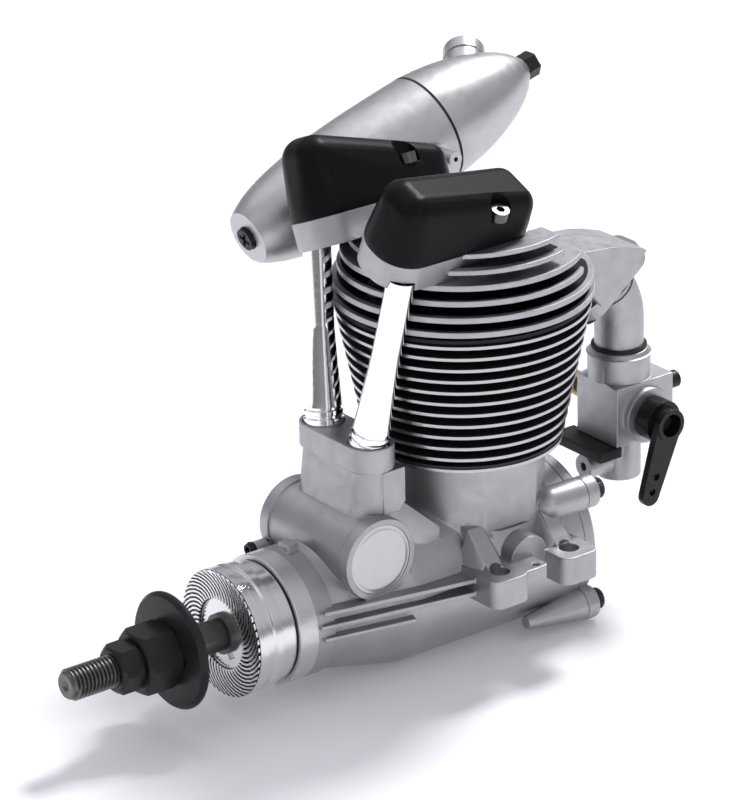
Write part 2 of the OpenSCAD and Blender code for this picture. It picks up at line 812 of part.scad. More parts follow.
// Bright tube round a pushrod, flared and grooved at its foot
module pushrod_tube(right) {
    foot_z = tube_seat_z + seal_thick / line_len;
    length = (tube_end_z - foot_z) * line_len;
    color(BRIGHT) on_side(right) on_push(foot_z) rotate_extrude() polygon([
        [tube_bore_r, 0], [tube_foot_r, 0], [tube_foot_r, 1.3], [4.4, 1.5], [4.4, 2.1], [4.8, 2.3], [4.8, 3.3],
        [4.3, 3.5], [4.3, 4.1], [4.6, 4.3], [4.5, 5.6], [4.1, 12], [3.8, 17], [tube_out_r + 0.1, 21],
        [tube_out_r, 24], [tube_out_r, length], [tube_bore_r, length]
    ]);
}

module pushrod_tube_right() { pushrod_tube(true); }
module pushrod_tube_left() { pushrod_tube(false); }

// Rubber rings that seal the foot of each tube on the tappet deck
module tube_seals() {
    color(BLACK) for (right = [true, false])
        on_side(right) on_push(tube_seat_z) difference() {
            cylinder(h = seal_thick, r = tube_foot_r);
            translate([0, 0, -1]) cylinder(h = 2, r = tappet_r + 0.3);
        }
}

// Finned cylinder barrel
module cylinder_shape() {
    translate([0, 0, deck_z]) cylinder(h = head_z - deck_z, r = barrel_r);
    translate([0, 0, deck_z]) cylinder(h = 1.5, r = fin_low_r - 0.4);
    for (i = [0:fin_count - 1]) translate([0, 0, deck_z + i * fin_pitch])
        cylinder(h = fin_rim, r = fin_low_r + fin_taper * i * fin_pitch);
    for (p = head_screw_at) translate([p.x, p.y, head_z - 9.6])
        cylinder(h = 9.6, r = head_screw_boss);
}

module cylinder_body() {
    difference() {
        cylinder_shape();
        translate([0, 0, deck_z - 1]) cylinder(h = 60, r = barrel_bore_r);
        translate([0, 0, head_z - 1.2]) cylinder(h = 2, r = barrel_bore_r + 1.2);
        for (p = head_screw_at) translate([p.x, p.y, head_z - 8.6]) cylinder(h = 10, r = screw_r);
    }
}
module cylinder_liner() {
    color(STEEL) difference() {
        union() {
            translate([0, 0, liner_low]) cylinder(h = head_z - liner_low, r = barrel_bore_r);
            translate([0, 0, head_z - 1.2]) cylinder(h = 1.2, r = barrel_bore_r + 1.2);
        }
        translate([0, 0, liner_low - 1]) cylinder(h = 60, r = bore / 2);
    }
}

// Cylinder head: chamber, ports, fins, rocker boxes and intake neck
module cylinder_head() {
    color(ALLOY) {
        difference() {
            union() {
                head_block();
                for (right = [true, false]) cover_side(right) rocker_box();
                intake_neck();
            }
            translate(dome_c) rotate([90, 0, 0]) sphere(dome_r);
            for (right = [true, false]) rocker_side(right) {
                box_pocket(right);
                valve_bores();
            }
            for (right = [true, false]) on_side(right) {
                on_push(tube_end_z - 6) cylinder(h = 6 * line_len + 0.3, r = tube_out_r + run_gap);
                on_push(tube_end_z - 6) cylinder(h = 16, r = tube_bore_r + 0.1);
            }
            intake_port();
            exhaust_port();
            for (p = head_screw_at) translate([p.x, p.y, head_z - 1]) cylinder(h = 30, r = screw_r);
            for (p = head_screw_at) translate([p.x, p.y, head_screw_seat])
                cylinder(h = 18, r = screw_head_r + 0.3);
            plug_frame() {
                translate([0, 0, -6]) cylinder(h = 20, r = plug_r + 0.01);
                translate([0, 0, plug_seat]) cylinder(h = 30, r = plug_hex_r + 0.6);
            }
        }
        for (right = [true, false]) rocker_side(right) rocker_posts();
    }
}

// Core, round fins and screw bosses; the upper fins stop short of the rear
module head_block() {
    plate_top = first_head_fin + head_pitch + head_fin;
    translate([0, 0, head_z]) cylinder(h = plate_top - 0.3 - head_z, r = head_core_r);
    translate([0, 0, head_z]) cylinder(h = 1.2, r = 30.5);
    for (i = [0:1]) head_fin_disc(i);
    for (i = [2:3]) intersection() {
        head_fin_disc(i);
        translate([-40, -40, plate_top]) cube([80, 40 + fin_rear_y, 20]);
    }
    for (i = [4:5]) intersection() {
        head_fin_disc(i);
        translate([-14, -40, plate_top]) cube([28, 40, 20]);
    }
    intersection() {
        union() {
            translate([0, 0, plate_top - 1]) cylinder(h = head_core_top - plate_top + 1, r = head_core_r);
            translate([0, 0, plate_top - 1]) cylinder(h = first_head_fin + 5 * head_pitch - plate_top + 1.6, r = 13);
        }
        translate([-40, -40, head_z]) cube([80, 40 + fin_rear_y - 1.4, 40]);
    }
    for (p = head_screw_at) translate([p.x, p.y, head_z])
        cylinder(h = head_screw_seat + 0.05 - head_z, r = head_screw_boss);
}

module head_fin_disc(i) {
    translate([0, 0, first_head_fin + i * head_pitch]) cylinder(h = head_fin, r = head_fin_r[i]);
}

// Box under a rocker cover, cast on the head, in the rocker frame
module rocker_box() {
    translate([0, 0, -box_depth])
        plate(cover_u[0], cover_v[0], cover_u[1], cover_v[1], cover_corner, box_depth);
    translate([0, 0, -box_depth - 7])
        plate(cover_u[0] + 3, 10, cover_u[1], cover_v[1] - 1, 4, box_depth + 6);
}

module box_pocket(right) {
    translate([right ? 0 : left_cover_out, 0, box_floor - box_depth])
        plate(cover_u[0] + box_wall, cover_v[0] + box_wall, cover_u[1] - box_wall,
              cover_v[1] - box_wall, cover_corner - box_wall, box_depth);
}

// Inner post and low outer cradle that hold a rocker shaft, in the rocker frame
module rocker_posts() {
    inner = rocker_mid - rocker_thick / 2 - 0.35;
    outer = rocker_mid + rocker_thick / 2 + 0.35;
    low = -box_depth + 1;
    difference() {
        union() {
            translate([inner - 2.8, pivot_v - 3, low]) cube([2.8, 6, pivot_w + 3 - low]);
            translate([outer, pivot_v - 3, low]) cube([0.9, 6, pivot_w + 0.8 - low]);
        }
        translate([0, pivot_v, pivot_w]) rod_x(-20, 20, rocker_shaft_r);
    }
}

// Spring pocket, stem guide, throat and seat of one valve, as one turned shape
module valve_bores() {
    pocket_r = spring_r + 0.5;
    guide_r = stem_r + run_gap;
    throat_r = valve_r - 0.7;
    seat_r = valve_r + 0.2;
    throat_top = valve_face + 6.4;
    seat_top = valve_face + 1.5;
    translate([valve_u, valve_v, 0]) rotate_extrude() polygon([
        [0, 1], [pocket_r, 1], [pocket_r, spring_seat], [guide_r, spring_seat],
        [guide_r, throat_top], [throat_r, throat_top], [throat_r, seat_top],
        [seat_r, seat_top], [seat_r, valve_face - 2], [0, valve_face - 2]
    ]);
}

// Block that carries the intake port out to the sloping joint
module intake_neck() {
    difference() {
        translate([neck_half, 0, 0]) rotate([90, 0, -90]) mirror([1, 0, 0])
            linear_extrude(2 * neck_half) polygon([
                [12, head_z + 0.1], [32, head_z + 0.1], [33.6, 61.5], [37, 57.5],
                [52, 68], [50.4, 69.7], [45, 71.5], [40, 72.6], [24, 74.2], [12, 74.2]
            ]);
        joint_frame() translate([-20, -20, 0]) cube([40, 40, 20]);
    }
}

module intake_port() {
    start = [valve_u, valve_v, valve_face + 4.2];
    p0 = [rocker_o.x + start.x * tilt_c + start.z * tilt_s, 0,
          rocker_o.z - start.x * tilt_s + start.z * tilt_c];
    bar(p0, [0, 35, 69], 2.9);
    bar([0, 34, 69.3], [0, joint_y + 2, joint_z - 2.6], 3.4);
}

module exhaust_port() {
    start = [valve_u, valve_v, valve_face + 4.2];
    p0 = [-(rocker_o.x + start.x * tilt_c + start.z * tilt_s), 0,
          rocker_o.z - start.x * tilt_s + start.z * tilt_c];
    bar(p0, [-20, header_y(), header_z()], 3.4);
    translate([0, header_y(), header_z()]) {
        rod_x(header_nut - 22, header_nut, header_nut_r + 0.4);
        rod_x(header_nut - 1, header_in + 0.3, header_r + run_gap);
    }
}

function header_y() = muffler_y + header_s * cos(muffler_tilt);
function header_z() = 75.6;

// Round bar from one point to another
module bar(p, q, r) {
    d = q - p;
    translate(p) rotate([0, acos(d.z / norm(d)), atan2(d.y, d.x)]) cylinder(h = norm(d), r = r);
}

module head_screws() {
    color(STEEL) for (p = head_screw_at) translate([p.x, p.y, head_screw_seat])
        cap_screw(screw_head_r, screw_head_h, screw_r, head_screw_seat - head_z + 8);
}

// Rocker cover in the rocker frame, a rounded wedge that is lower at its rear.
// The rise adds to its height at the front.
module cover_skin(inset, rise) {
    r = cover_corner - inset;
    front_r = 5.6 - inset * 0.8;
    rear_r = 4.4 - inset * 0.8;
    foot = inset > 0 ? -1 : 0;
    hull() {
        for (u = cover_u, v = cover_v)
            translate([u + (u < -5 ? 1 : -1) * (inset + r), v + (v < 5 ? 1 : -1) * (inset + r), foot])
                cylinder(h = 2, r = r, $fn = 32);
        for (u = [cover_u[0] + 1.6, cover_u[1] - 1.6]) {
            side = u < -5 ? 1 : -1;
            translate([u + side * (inset + front_r), cover_v[0] + 2 + inset + front_r,
                       rocker_cover_h + rise - inset - front_r]) sphere(front_r, $fn = 32);
            translate([u + side * (inset + rear_r), cover_v[1] - 1 - inset - rear_r,
                       rocker_cover_rear - inset - rear_r]) sphere(rear_r, $fn = 32);
        }
    }
}

// Cover shell with a boss and a slot for its screw, cut away over the rocker
module cover_shell(slot_u, out, rise) {
    difference() {
        union() {
            difference() {
                cover_skin(0, rise);
                cover_skin(rocker_cover_wall, rise);
            }
            difference() {
                intersection() {
                    cover_skin(0, rise);
                    translate([slot_u, slot_v, 0]) cylinder(h = 30, r = 3.9, $fn = 48);
                }
                translate([rocker_mid - out - rocker_thick / 2 - 0.5, 0, -1])
                    cube([rocker_thick + 1, 34, cover_seat + 0.4]);
            }
        }
        translate([slot_u, slot_v, cover_seat]) cylinder(h = 30, r = 2.9, $fn = 48);
        translate([slot_u, slot_v, -1]) cylinder(h = 30, r = 1.35, $fn = 48);
    }
}

module rocker_cover_right() {
    color(BLACK) cover_side(true) cover_shell(slot_right_u, 0, 0);
}

module rocker_cover_left() {
    color(BLACK) cover_side(false) cover_shell(slot_left_u, left_cover_out, left_cover_rise);
}

module rocker_cover_screws() {
    color(STEEL) {
        cover_side(true) translate([slot_right_u, slot_v, cover_seat]) cap_screw(2.2, 2.6, 1.2, cover_seat);
        cover_side(false) translate([slot_left_u, slot_v, cover_seat]) cap_screw(2.2, 2.6, 1.2, cover_seat);
    }
}

// Rocker with its hub on the rocker shaft, in the rocker frame
module rocker(right) {
    color(STEEL) rocker_side(right) difference() {
        translate([rocker_mid - rocker_thick / 2, 0, 0]) rotate([90, 0, 90])
            linear_extrude(rocker_thick) union() {
                translate([pivot_v, pivot_w]) circle(3.6);
                translate([0, ball_w + ball_r + pass_gap + rocker_pad_r]) circle(rocker_pad_r);
                translate([valve_v, valve_tip + pass_gap + rocker_pad_r]) circle(rocker_pad_r);
                polygon([
                    [0, ball_w + ball_r + pass_gap + 0.3], [pivot_v - 2, pivot_w - 2.6],
                    [pivot_v + 2, pivot_w - 2.6], [valve_v, valve_tip + pass_gap + 0.2],
                    [valve_v, valve_tip + pass_gap + 2 * rocker_pad_r - 0.2],
                    [pivot_v + 2, pivot_w + 2.9], [pivot_v - 2, pivot_w + 2.9],
                    [0, ball_w + ball_r + pass_gap + 2 * rocker_pad_r - 0.3]
                ]);
            }
        translate([0, pivot_v, pivot_w]) rod_x(-20, 20, rocker_shaft_r + run_gap);
    }
}

module intake_rocker() { rocker(true); }
module exhaust_rocker() { rocker(false); }

module rocker_shafts() {
    color(STEEL) for (right = [true, false]) rocker_side(right)
        translate([0, pivot_v, pivot_w])
            rod_x(rocker_mid - rocker_thick / 2 - 3.15, rocker_mid + rocker_thick / 2 + 1.25,
                  rocker_shaft_r);
}

// Poppet valve, in the rocker frame
module valve(right) {
    color(STEEL) rocker_side(right) translate([valve_u, valve_v, 0]) {
        translate([0, 0, valve_face + 0.5]) cylinder(h = valve_tip - valve_face - 0.5, r = stem_r);
        translate([0, 0, valve_face]) cylinder(h = 1.1, r = valve_r);
        translate([0, 0, valve_face + 1.09]) cylinder(h = 1.6, r1 = valve_r - 1, r2 = stem_r);
    }
}

module intake_valve() { valve(true); }
module exhaust_valve() { valve(false); }

// Spring retainer clipped on the stem
module retainer(right) {
    color(STEEL) rocker_side(right) translate([valve_u, valve_v, retainer_w]) difference() {
        cylinder(h = 1.3, r = spring_r);
        translate([0, 0, -1]) cylinder(h = 4, r = stem_r);
    }
}

module intake_retainer() { retainer(true); }
module exhaust_retainer() { retainer(false); }

// Valve springs, as coils between their seat and the retainer
module valve_springs() {
    turns = 5;
    wire = 0.45;
    low = spring_seat + wire;
    high = retainer_w - wire - 0.05;
    steps = 18;
    rings = turns * steps;
    sides = 6;
    function ring_point(i, k) =
        let (a = 360 * i / steps, b = 360 * k / sides,
             r = spring_r - wire - 0.1 + wire * cos(b))
        [r * cos(a), r * sin(a), low + (high - low) * i / rings + wire * sin(b)];
    points = [for (i = [0:rings], k = [0:sides - 1]) ring_point(i, k)];
    sides_faces = [for (i = [0:rings - 1], k = [0:sides - 1])
        let (n = (k + 1) % sides)
        [i * sides + k, i * sides + n, (i + 1) * sides + n, (i + 1) * sides + k]];
    ends = [[for (k = [sides - 1:-1:0]) k], [for (k = [0:sides - 1]) rings * sides + k]];
    color(STEEL) for (right = [true, false]) rocker_side(right)
        translate([valve_u, valve_v, 0]) polyhedron(points, concat(sides_faces, ends));
}

// Glow plug leaning into the chamber from the left rear
module plug_frame() {
    translate([plug_at.x, plug_at.y, plug_at.z]) rotate([0, plug_tilt, plug_turn]) children();
}

module glow_plug() {
    color(BRASS) plug_frame() {
        translate([0, 0, 1]) cylinder(h = plug_seat - 1, r = plug_r);
        translate([0, 0, plug_seat]) cylinder(h = 4, r = plug_hex_r, $fn = 6);
        translate([0, 0, plug_seat + 3.99]) cylinder(h = 2.4, r = 2.2);
        translate([0, 0, plug_seat + 6.38]) cylinder(h = 2.6, r = 1.2);
    }
}

// Piston at the top of its travel
module piston() {
    r = bore / 2 - run_gap;
    crown = pin_z + crown_over_pin;
    color(ALLOY) difference() {
        translate([0, 0, pin_z - skirt_under_pin]) cylinder(h = crown_over_pin + skirt_under_pin, r = r);
        translate([0, 0, pin_z - skirt_under_pin - 1])
            cylinder(h = crown_over_pin + skirt_under_pin - 2, r = r - 2.6);
        translate([0, 0, pin_z]) rod_y(-20, 20, wrist_r + 0.01);
        translate([0, 0, crown - 4]) difference() {
            cylinder(h = 1.2, r = r + 1);
            translate([0, 0, -1]) cylinder(h = 4, r = r - 1.3);
        }
    }
    for (s = [-1, 1]) color(ALLOY) difference() {
        translate([-4.4, s > 0 ? rod_thick / 2 + pass_gap : -r + 2.2, pin_z - 1])
            cube([8.8, r - 2.2 - rod_thick / 2 - pass_gap, crown_over_pin - 1]);
        translate([0, 0, pin_z]) rod_y(-20, 20, wrist_r + 0.01);
    }
}

module piston_ring() {
    r = bore / 2 - run_gap;
    color(STEEL) translate([0, 0, pin_z + crown_over_pin - 3.95]) difference() {
        cylinder(h = 1.1, r = r);
        translate([0, 0, -1]) cylinder(h = 4, r = r - 1.25);
        translate([0, -0.2, -1]) cube([30, 0.4, 4]);
    }
}

module wrist_pin() {
    half = bore / 2 - 1;
    color(STEEL) translate([0, 0, pin_z]) difference() {
        rod_y(-half, half, wrist_r);
        rod_y(-half - 1, half + 1, 1.4);
    }
}

// Connecting rod on the wrist pin; its big eye waits just behind the crankpin
module connecting_rod() {
    color(ALLOY) difference() {
        translate([0, rod_thick / 2, 0]) rotate([90, 0, 0]) union() {
            translate([0, pin_z, 0]) cylinder(h = rod_thick, r = 4.3);
            translate([0, crank_throw, 0]) cylinder(h = rod_thick, r = rod_big_r);
            translate([0, 0, 1.5]) linear_extrude(rod_thick - 3)
                polygon([[-3.4, crank_throw + 3], [3.4, crank_throw + 3],
                         [2.7, pin_z - 3], [-2.7, pin_z - 3]]);
        }
        translate([0, 0, pin_z]) rod_y(-10, 10, wrist_r + 0.02);
        translate([0, 0, crank_throw]) rod_y(-10, 10, crankpin_r + 0.05);
    }
}

// Elbow from the sloping joint down to the carburettor
module intake_pipe() {
    color(ALLOY) difference() {
        union() {
            joint_frame() intake_flange();
            pipe_run(pipe_r, 0, carb_top + 2.4);
        }
        pipe_run(throat_r, -1, carb_top + 1.4);
        joint_frame() for (v = intake_screw_v) translate([0, v, -1]) cylinder(h = 8, r = screw_r);
    }
}

// Straight start square to the joint, round bend and straight drop of the pipe.
// The start is a hair fatter and laps the bend, so that the two fuse.
module pipe_run(r, start, low) {
    lap = 0.02;
    joint_frame() translate([0, 0, start]) cylinder(h = bend_start + lap - start, r = r + lap / 2);
    translate([0, pipe_y - pipe_bend_r, bend_low]) rotate([90, 0, 90])
        rotate_extrude(angle = joint_tilt) translate([pipe_bend_r, 0]) circle(r);
    translate([0, pipe_y, low]) cylinder(h = bend_low - low, r = r);
}

module intake_flange() {
    plate(-6.4, -11.6, 6.4, 11.6, 4.5, 4.2);
}

module intake_screws() {
    color(BLACK) joint_frame() for (v = intake_screw_v)
        translate([0, v, 4.2]) cap_screw(intake_screw_r, 3, screw_r, 4.2);
}

// Rubber ring between the pipe and the carburettor's collar
module intake_seal() {
    color(BLACK) translate([0, pipe_y, carb_top + 7.7]) difference() {
        cylinder(h = 0.8, r = 7);
        translate([0, 0, -1]) cylinder(h = 4, r = pipe_r);
    }
}

// Carburettor block with collar, air inlet and side boss
module carburettor() {
    color(ALLOY) difference() {
        union() {
            translate([-block_w / 2 + 0.25, block_rear - block_l, carb_low])
                cube([block_w, block_l, carb_top - carb_low]);
            translate([0, pipe_y, carb_top - 0.01]) cylinder(h = 6.4, r = 7.9);
            translate([0, pipe_y, carb_top + 6.38]) cylinder(h = 1.3, r1 = 7.9, r2 = 7.2);
            translate([0, pipe_y, carb_low - 11.2]) cylinder(h = 11.3, r = 5.6);
            translate([0, pipe_y + 2, barrel_z]) rod_x(7.9, 9.6, 7.2);
            translate([0, 0, 12]) rod_y(pipe_y - 11.6, pipe_y, 3.2);
        }
        translate([0, pipe_y, 0]) cylinder(h = 60, r = throat_r);
        translate([0, pipe_y, carb_low - 12]) cylinder(h = 8.3, r = throat_r + 0.2);
        translate([0, pipe_y, carb_top + 2.4]) cylinder(h = 10, r = pipe_r);
        translate([0, pipe_y + 2, barrel_z]) rod_x(-5.5, 12, throttle_r + run_gap);
        translate([0, 0, 12]) rod_y(pipe_y - 12, pipe_y - 6, 1);
        translate([idle_screw_at.x, 0, idle_screw_at.y]) rod_y(block_rear - 5, block_rear + 1, 1.05);
        translate([0, pipe_y + 2, barrel_z]) rod_x(-8, -5, 1.6);
    }
}

// Drilled throttle barrel; the hole lines up with the throat when open
module throttle_barrel() {
    color(BRIGHT) translate([0, pipe_y + 2, barrel_z]) difference() {
        rod_x(-5.3, 10.2, throttle_r);
        translate([0, -2, -10]) cylinder(h = 20, r = throat_r);
        rod_x(-6, -1, 1.6);
    }
}

// Black throttle arm clamped on the barrel
module throttle_arm() {
    lean = 19.5;
    color(BLACK) translate([0, pipe_y + 2, barrel_z]) difference() {
        union() {
            rod_x(10.3, 15, 5.5);
            rod_x(15, 18, 4.2);
            translate([15.6, 0, 0]) rotate([lean * -1, 0, 0]) rotate([90, 0, 90])
                linear_extrude(2) union() {
                    circle(4.2);
                    translate([0, -arm_reach - 1]) circle(2.7);
                    polygon([[-4, -1.2], [4, -1.2], [2.7, -arm_reach - 1.2], [-2.7, -arm_reach - 1.2]]);
                }
        }
        rod_x(13.2, 20, 2.9);
        rod_x(9, 14, 1.3);
        rotate([-lean, 0, 0]) for (d = [arm_reach, arm_reach - 4])
            translate([0, 0, -d]) rod_x(14, 20, 0.9);
    }
}

module throttle_screw() {
    color(STEEL) translate([0, pipe_y + 2, barrel_z]) {
        rod_x(13.2, 15, 2.4);
        rod_x(10.25, 13.21, 1.25);
    }
}

module idle_stop_screw() {
    color(BLACK) translate([idle_screw_at.x, 0, idle_screw_at.y]) {
        rod_y(block_rear - 5, block_rear + 0.01, 1);
        rod_y(block_rear, block_rear + 3, 2.2);
    }
}

// Needle valve with its knurled knob, on the far side
module needle_valve() {
    color(BRASS) translate([0, pipe_y + 2, barrel_z]) {
        rod_x(-9.5, -7.5, 3.4);
        rod_x(-7.6, -5.6, 1.5);
        rod_x(-17, -9.4, 2.2);
        rod_x(-22, -16.9, 3.1);
    }
}

// Superellipse radius of the muffler at a share t of its shell's length
function shell_r(t, power) = pow(1 - pow(t, power), 1 / power);

function front_profile(inset) = [for (i = [0:18])
    let (s = muffler_front_l * pow(i / 18, 1.5))
    [muffler_r * shell_r(0.94 * (1 - s / muffler_front_l), 2.6) - inset, s]];

function rear_profile(inset) = [for (i = [0:12])
    let (t = i / 12)
    [muffler_r * shell_r(0.96 * t, 1.75) - inset, muffler_front_l + muffler_rear_l * t]];

module muffler_front() {
    color(ALLOY) difference() {
        muffler_frame() difference() {
            turned_y(concat([[0, 0]], front_profile(0), [[0, muffler_front_l]]));
            turned_y(concat([[0, 4]], [for (p = front_profile(muffler_wall)) if (p.y >= 4) p],
                            [[muffler_r - muffler_wall, muffler_front_l + 1], [0, muffler_front_l + 1]]));
            rod_y(-1, 6, 1.6);
            rod_y(-1, 1.6, 3.1);
            nipple_place() cylinder(h = 8, r = 1, center = true);
        }
        translate([0, header_y(), header_z()]) rod_x(-44, -20, header_r + run_gap);
    }
}

module muffler_rear() {
    end = muffler_front_l + muffler_rear_l;
    color(ALLOY) muffler_frame() difference() {
        union() {
            turned_y(concat([[0, muffler_front_l + 0.7], [muffler_r, muffler_front_l + 0.7]],
                            [for (p = rear_profile(0)) if (p.y > muffler_front_l + 0.7) p], [[0, end]]));
            outlet_place() cylinder(h = outlet_l - 3.5, r = 5.1);
            outlet_place() translate([0, 0, outlet_l - 3.6]) cylinder(h = 3.6, r = 5.4);
        }
        turned_y(concat([[0, muffler_front_l]],
                        [for (p = rear_profile(muffler_wall)) if (p.x > 2 && p.y < end - 2) p],
                        [[0, end - 5]]));
        outlet_place() cylinder(h = outlet_l + 1, r = 4.1);
        rod_y(end - 8, end + 2, 1.6);
    }
}

module outlet_place() {
    d = outlet_dir / norm(outlet_dir);
    dl = [d.x, d.y * cos(muffler_tilt) + d.z * sin(muffler_tilt),
          -d.y * sin(muffler_tilt) + d.z * cos(muffler_tilt)];
    translate([0, outlet_s, 0]) rotate([0, acos(dl.z), atan2(dl.y, dl.x)]) children();
}

// Seal in the joint between the two shells
module muffler_seal() {
    color(BLACK) muffler_frame() difference() {
        rod_y(muffler_front_l, muffler_front_l + 0.7, muffler_r + 0.05);
        rod_y(muffler_front_l - 1, muffler_front_l + 2, muffler_r - muffler_wall);
    }
}

// Long bolt that holds the two shells together
module muffler_bolt() {
    end = muffler_front_l + muffler_rear_l;
    color(BLACK) muffler_frame() {
        difference() {
            rod_y(-1.2, 1.6, 2.9);
            for (a = [0, 90]) rotate([0, a + 20, 0]) translate([-0.4, -2, -1.9]) cube([0.8, 1.7, 3.8]);
        }
        rod_y(1.5, end + 2, 1.5);
        translate([0, end, 0]) rotate([-90, 0, 0]) cylinder(h = 3.6, r = 3.5, $fn = 6);
    }
}

module nipple_place() {
    r = muffler_r * shell_r(0.94 * (1 - nipple_s / muffler_front_l), 2.6);
    translate([0, nipple_s, 0]) rotate([0, nipple_turn, 0]) translate([0, 0, r - 1.2]) children();
}

module pressure_nipple() {
    color(ALLOY) muffler_frame() nipple_place() difference() {
        union() {
            translate([0, 0, 1.4]) cylinder(h = 1.6, r = 2.6);
            translate([0, 0, 2.9]) cylinder(h = nipple_l - 2.9, r = 1.85);
            translate([0, 0, -0.9]) cylinder(h = 2.5, r = 1);
        }
        translate([0, 0, -2]) cylinder(h = 14, r = 0.6);
    }
}

// Header pipe from the exhaust port into the muffler
module exhaust_header() {
    color(BRIGHT) translate([0, header_y(), header_z()]) difference() {
        union() {
            rod_x(header_out, header_in, header_r);
            rod_x(header_nut - 3.9, header_nut, header_nut_r);
        }
        rod_x(header_out - 1, header_in + 1, header_r - 1);
    }
}

crankcase();
breather_nipple();
rear_cover();
rear_cover_screws();
cam_cover_right();
cam_cover_left();
cam_bearings();
main_bearing();
main_bearing_inner();
front_bearing();
front_bearing_inner();
crankshaft();
drive_washer();
drive_key();
prop_washer();
prop_nut();
lock_nut();
camshaft();
intake_tappet();
exhaust_tappet();
intake_pushrod();
exhaust_pushrod();
pushrod_tube_right();
pushrod_tube_left();
tube_seals();
color(ALLOY) cylinder_body();  // cylinder
cylinder_liner();
cylinder_head();
head_screws();
rocker_cover_right();
rocker_cover_left();
rocker_cover_screws();
intake_rocker();
exhaust_rocker();
rocker_shafts();
intake_valve();
exhaust_valve();
intake_retainer();
exhaust_retainer();
valve_springs();
glow_plug();
piston();
piston_ring();
wrist_pin();
connecting_rod();
intake_pipe();
intake_screws();
intake_seal();
carburettor();
throttle_barrel();
throttle_arm();
throttle_screw();
idle_stop_screw();
needle_valve();
muffler_front();
muffler_rear();
muffler_seal();
muffler_bolt();
pressure_nipple();
exhaust_header();
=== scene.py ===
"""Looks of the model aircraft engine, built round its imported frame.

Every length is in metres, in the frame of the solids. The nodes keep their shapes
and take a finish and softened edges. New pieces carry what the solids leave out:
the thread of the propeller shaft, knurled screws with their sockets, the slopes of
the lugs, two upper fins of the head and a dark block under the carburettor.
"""

import json
import logging
import math
from dataclasses import dataclass, field
from enum import Enum
from typing import Optional, Sequence

import bmesh
import bpy
from mathutils import Matrix, Vector

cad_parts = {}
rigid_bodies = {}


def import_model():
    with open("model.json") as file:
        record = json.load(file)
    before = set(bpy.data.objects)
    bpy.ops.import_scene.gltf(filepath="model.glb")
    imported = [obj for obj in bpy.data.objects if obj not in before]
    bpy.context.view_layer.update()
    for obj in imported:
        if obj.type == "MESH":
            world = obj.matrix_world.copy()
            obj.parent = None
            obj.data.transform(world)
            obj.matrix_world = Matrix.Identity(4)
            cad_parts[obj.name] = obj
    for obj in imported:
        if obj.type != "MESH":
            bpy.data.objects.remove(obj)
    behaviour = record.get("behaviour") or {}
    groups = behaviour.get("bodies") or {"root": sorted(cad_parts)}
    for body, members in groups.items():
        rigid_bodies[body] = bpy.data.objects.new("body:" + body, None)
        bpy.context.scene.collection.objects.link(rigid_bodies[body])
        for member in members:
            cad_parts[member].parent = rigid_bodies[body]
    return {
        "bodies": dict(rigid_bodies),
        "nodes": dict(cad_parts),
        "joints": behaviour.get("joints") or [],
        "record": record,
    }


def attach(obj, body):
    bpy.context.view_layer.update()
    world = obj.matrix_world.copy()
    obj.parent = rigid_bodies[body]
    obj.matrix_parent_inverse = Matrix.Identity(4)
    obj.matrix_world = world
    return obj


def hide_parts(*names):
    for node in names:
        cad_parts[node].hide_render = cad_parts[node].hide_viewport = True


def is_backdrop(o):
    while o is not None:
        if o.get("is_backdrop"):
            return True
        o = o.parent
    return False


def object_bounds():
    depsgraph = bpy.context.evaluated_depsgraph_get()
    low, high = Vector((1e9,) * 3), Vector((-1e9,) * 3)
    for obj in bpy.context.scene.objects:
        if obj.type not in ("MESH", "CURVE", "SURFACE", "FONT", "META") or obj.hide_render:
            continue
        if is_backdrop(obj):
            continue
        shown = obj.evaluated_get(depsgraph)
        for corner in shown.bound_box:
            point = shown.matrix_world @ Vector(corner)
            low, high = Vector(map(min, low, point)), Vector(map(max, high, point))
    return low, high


LOG = logging.getLogger("engine")
MM = 0.001
MERGE = 1e-7
WELD = 1e-6
LOW_NOISE, HIGH_NOISE = 0.3, 0.7
WHITE = (1.0, 1.0, 1.0, 1.0)

Triple = tuple[float, float, float]
Colour = tuple[float, float, float]
Span = tuple[float, float]
Mesh = bmesh.types.BMesh
Verts = list[bmesh.types.BMVert]
Socket = bpy.types.NodeSocket


def toned(colour: Colour, share: float) -> Colour:
    """Return a darker or lighter colour.

    Args:
        colour: Colour to start from.
        share: Factor on each of its values.

    Returns:
        The new colour.
    """
    return tuple(share * value for value in colour)


class Axis(Enum):
    """Axis that a turned piece was cut about, as the scale of a ring pattern."""

    X = (1.0, 0.0, 0.0)
    Y = (0.0, 1.0, 0.0)
    Z = (0.0, 0.0, 1.0)


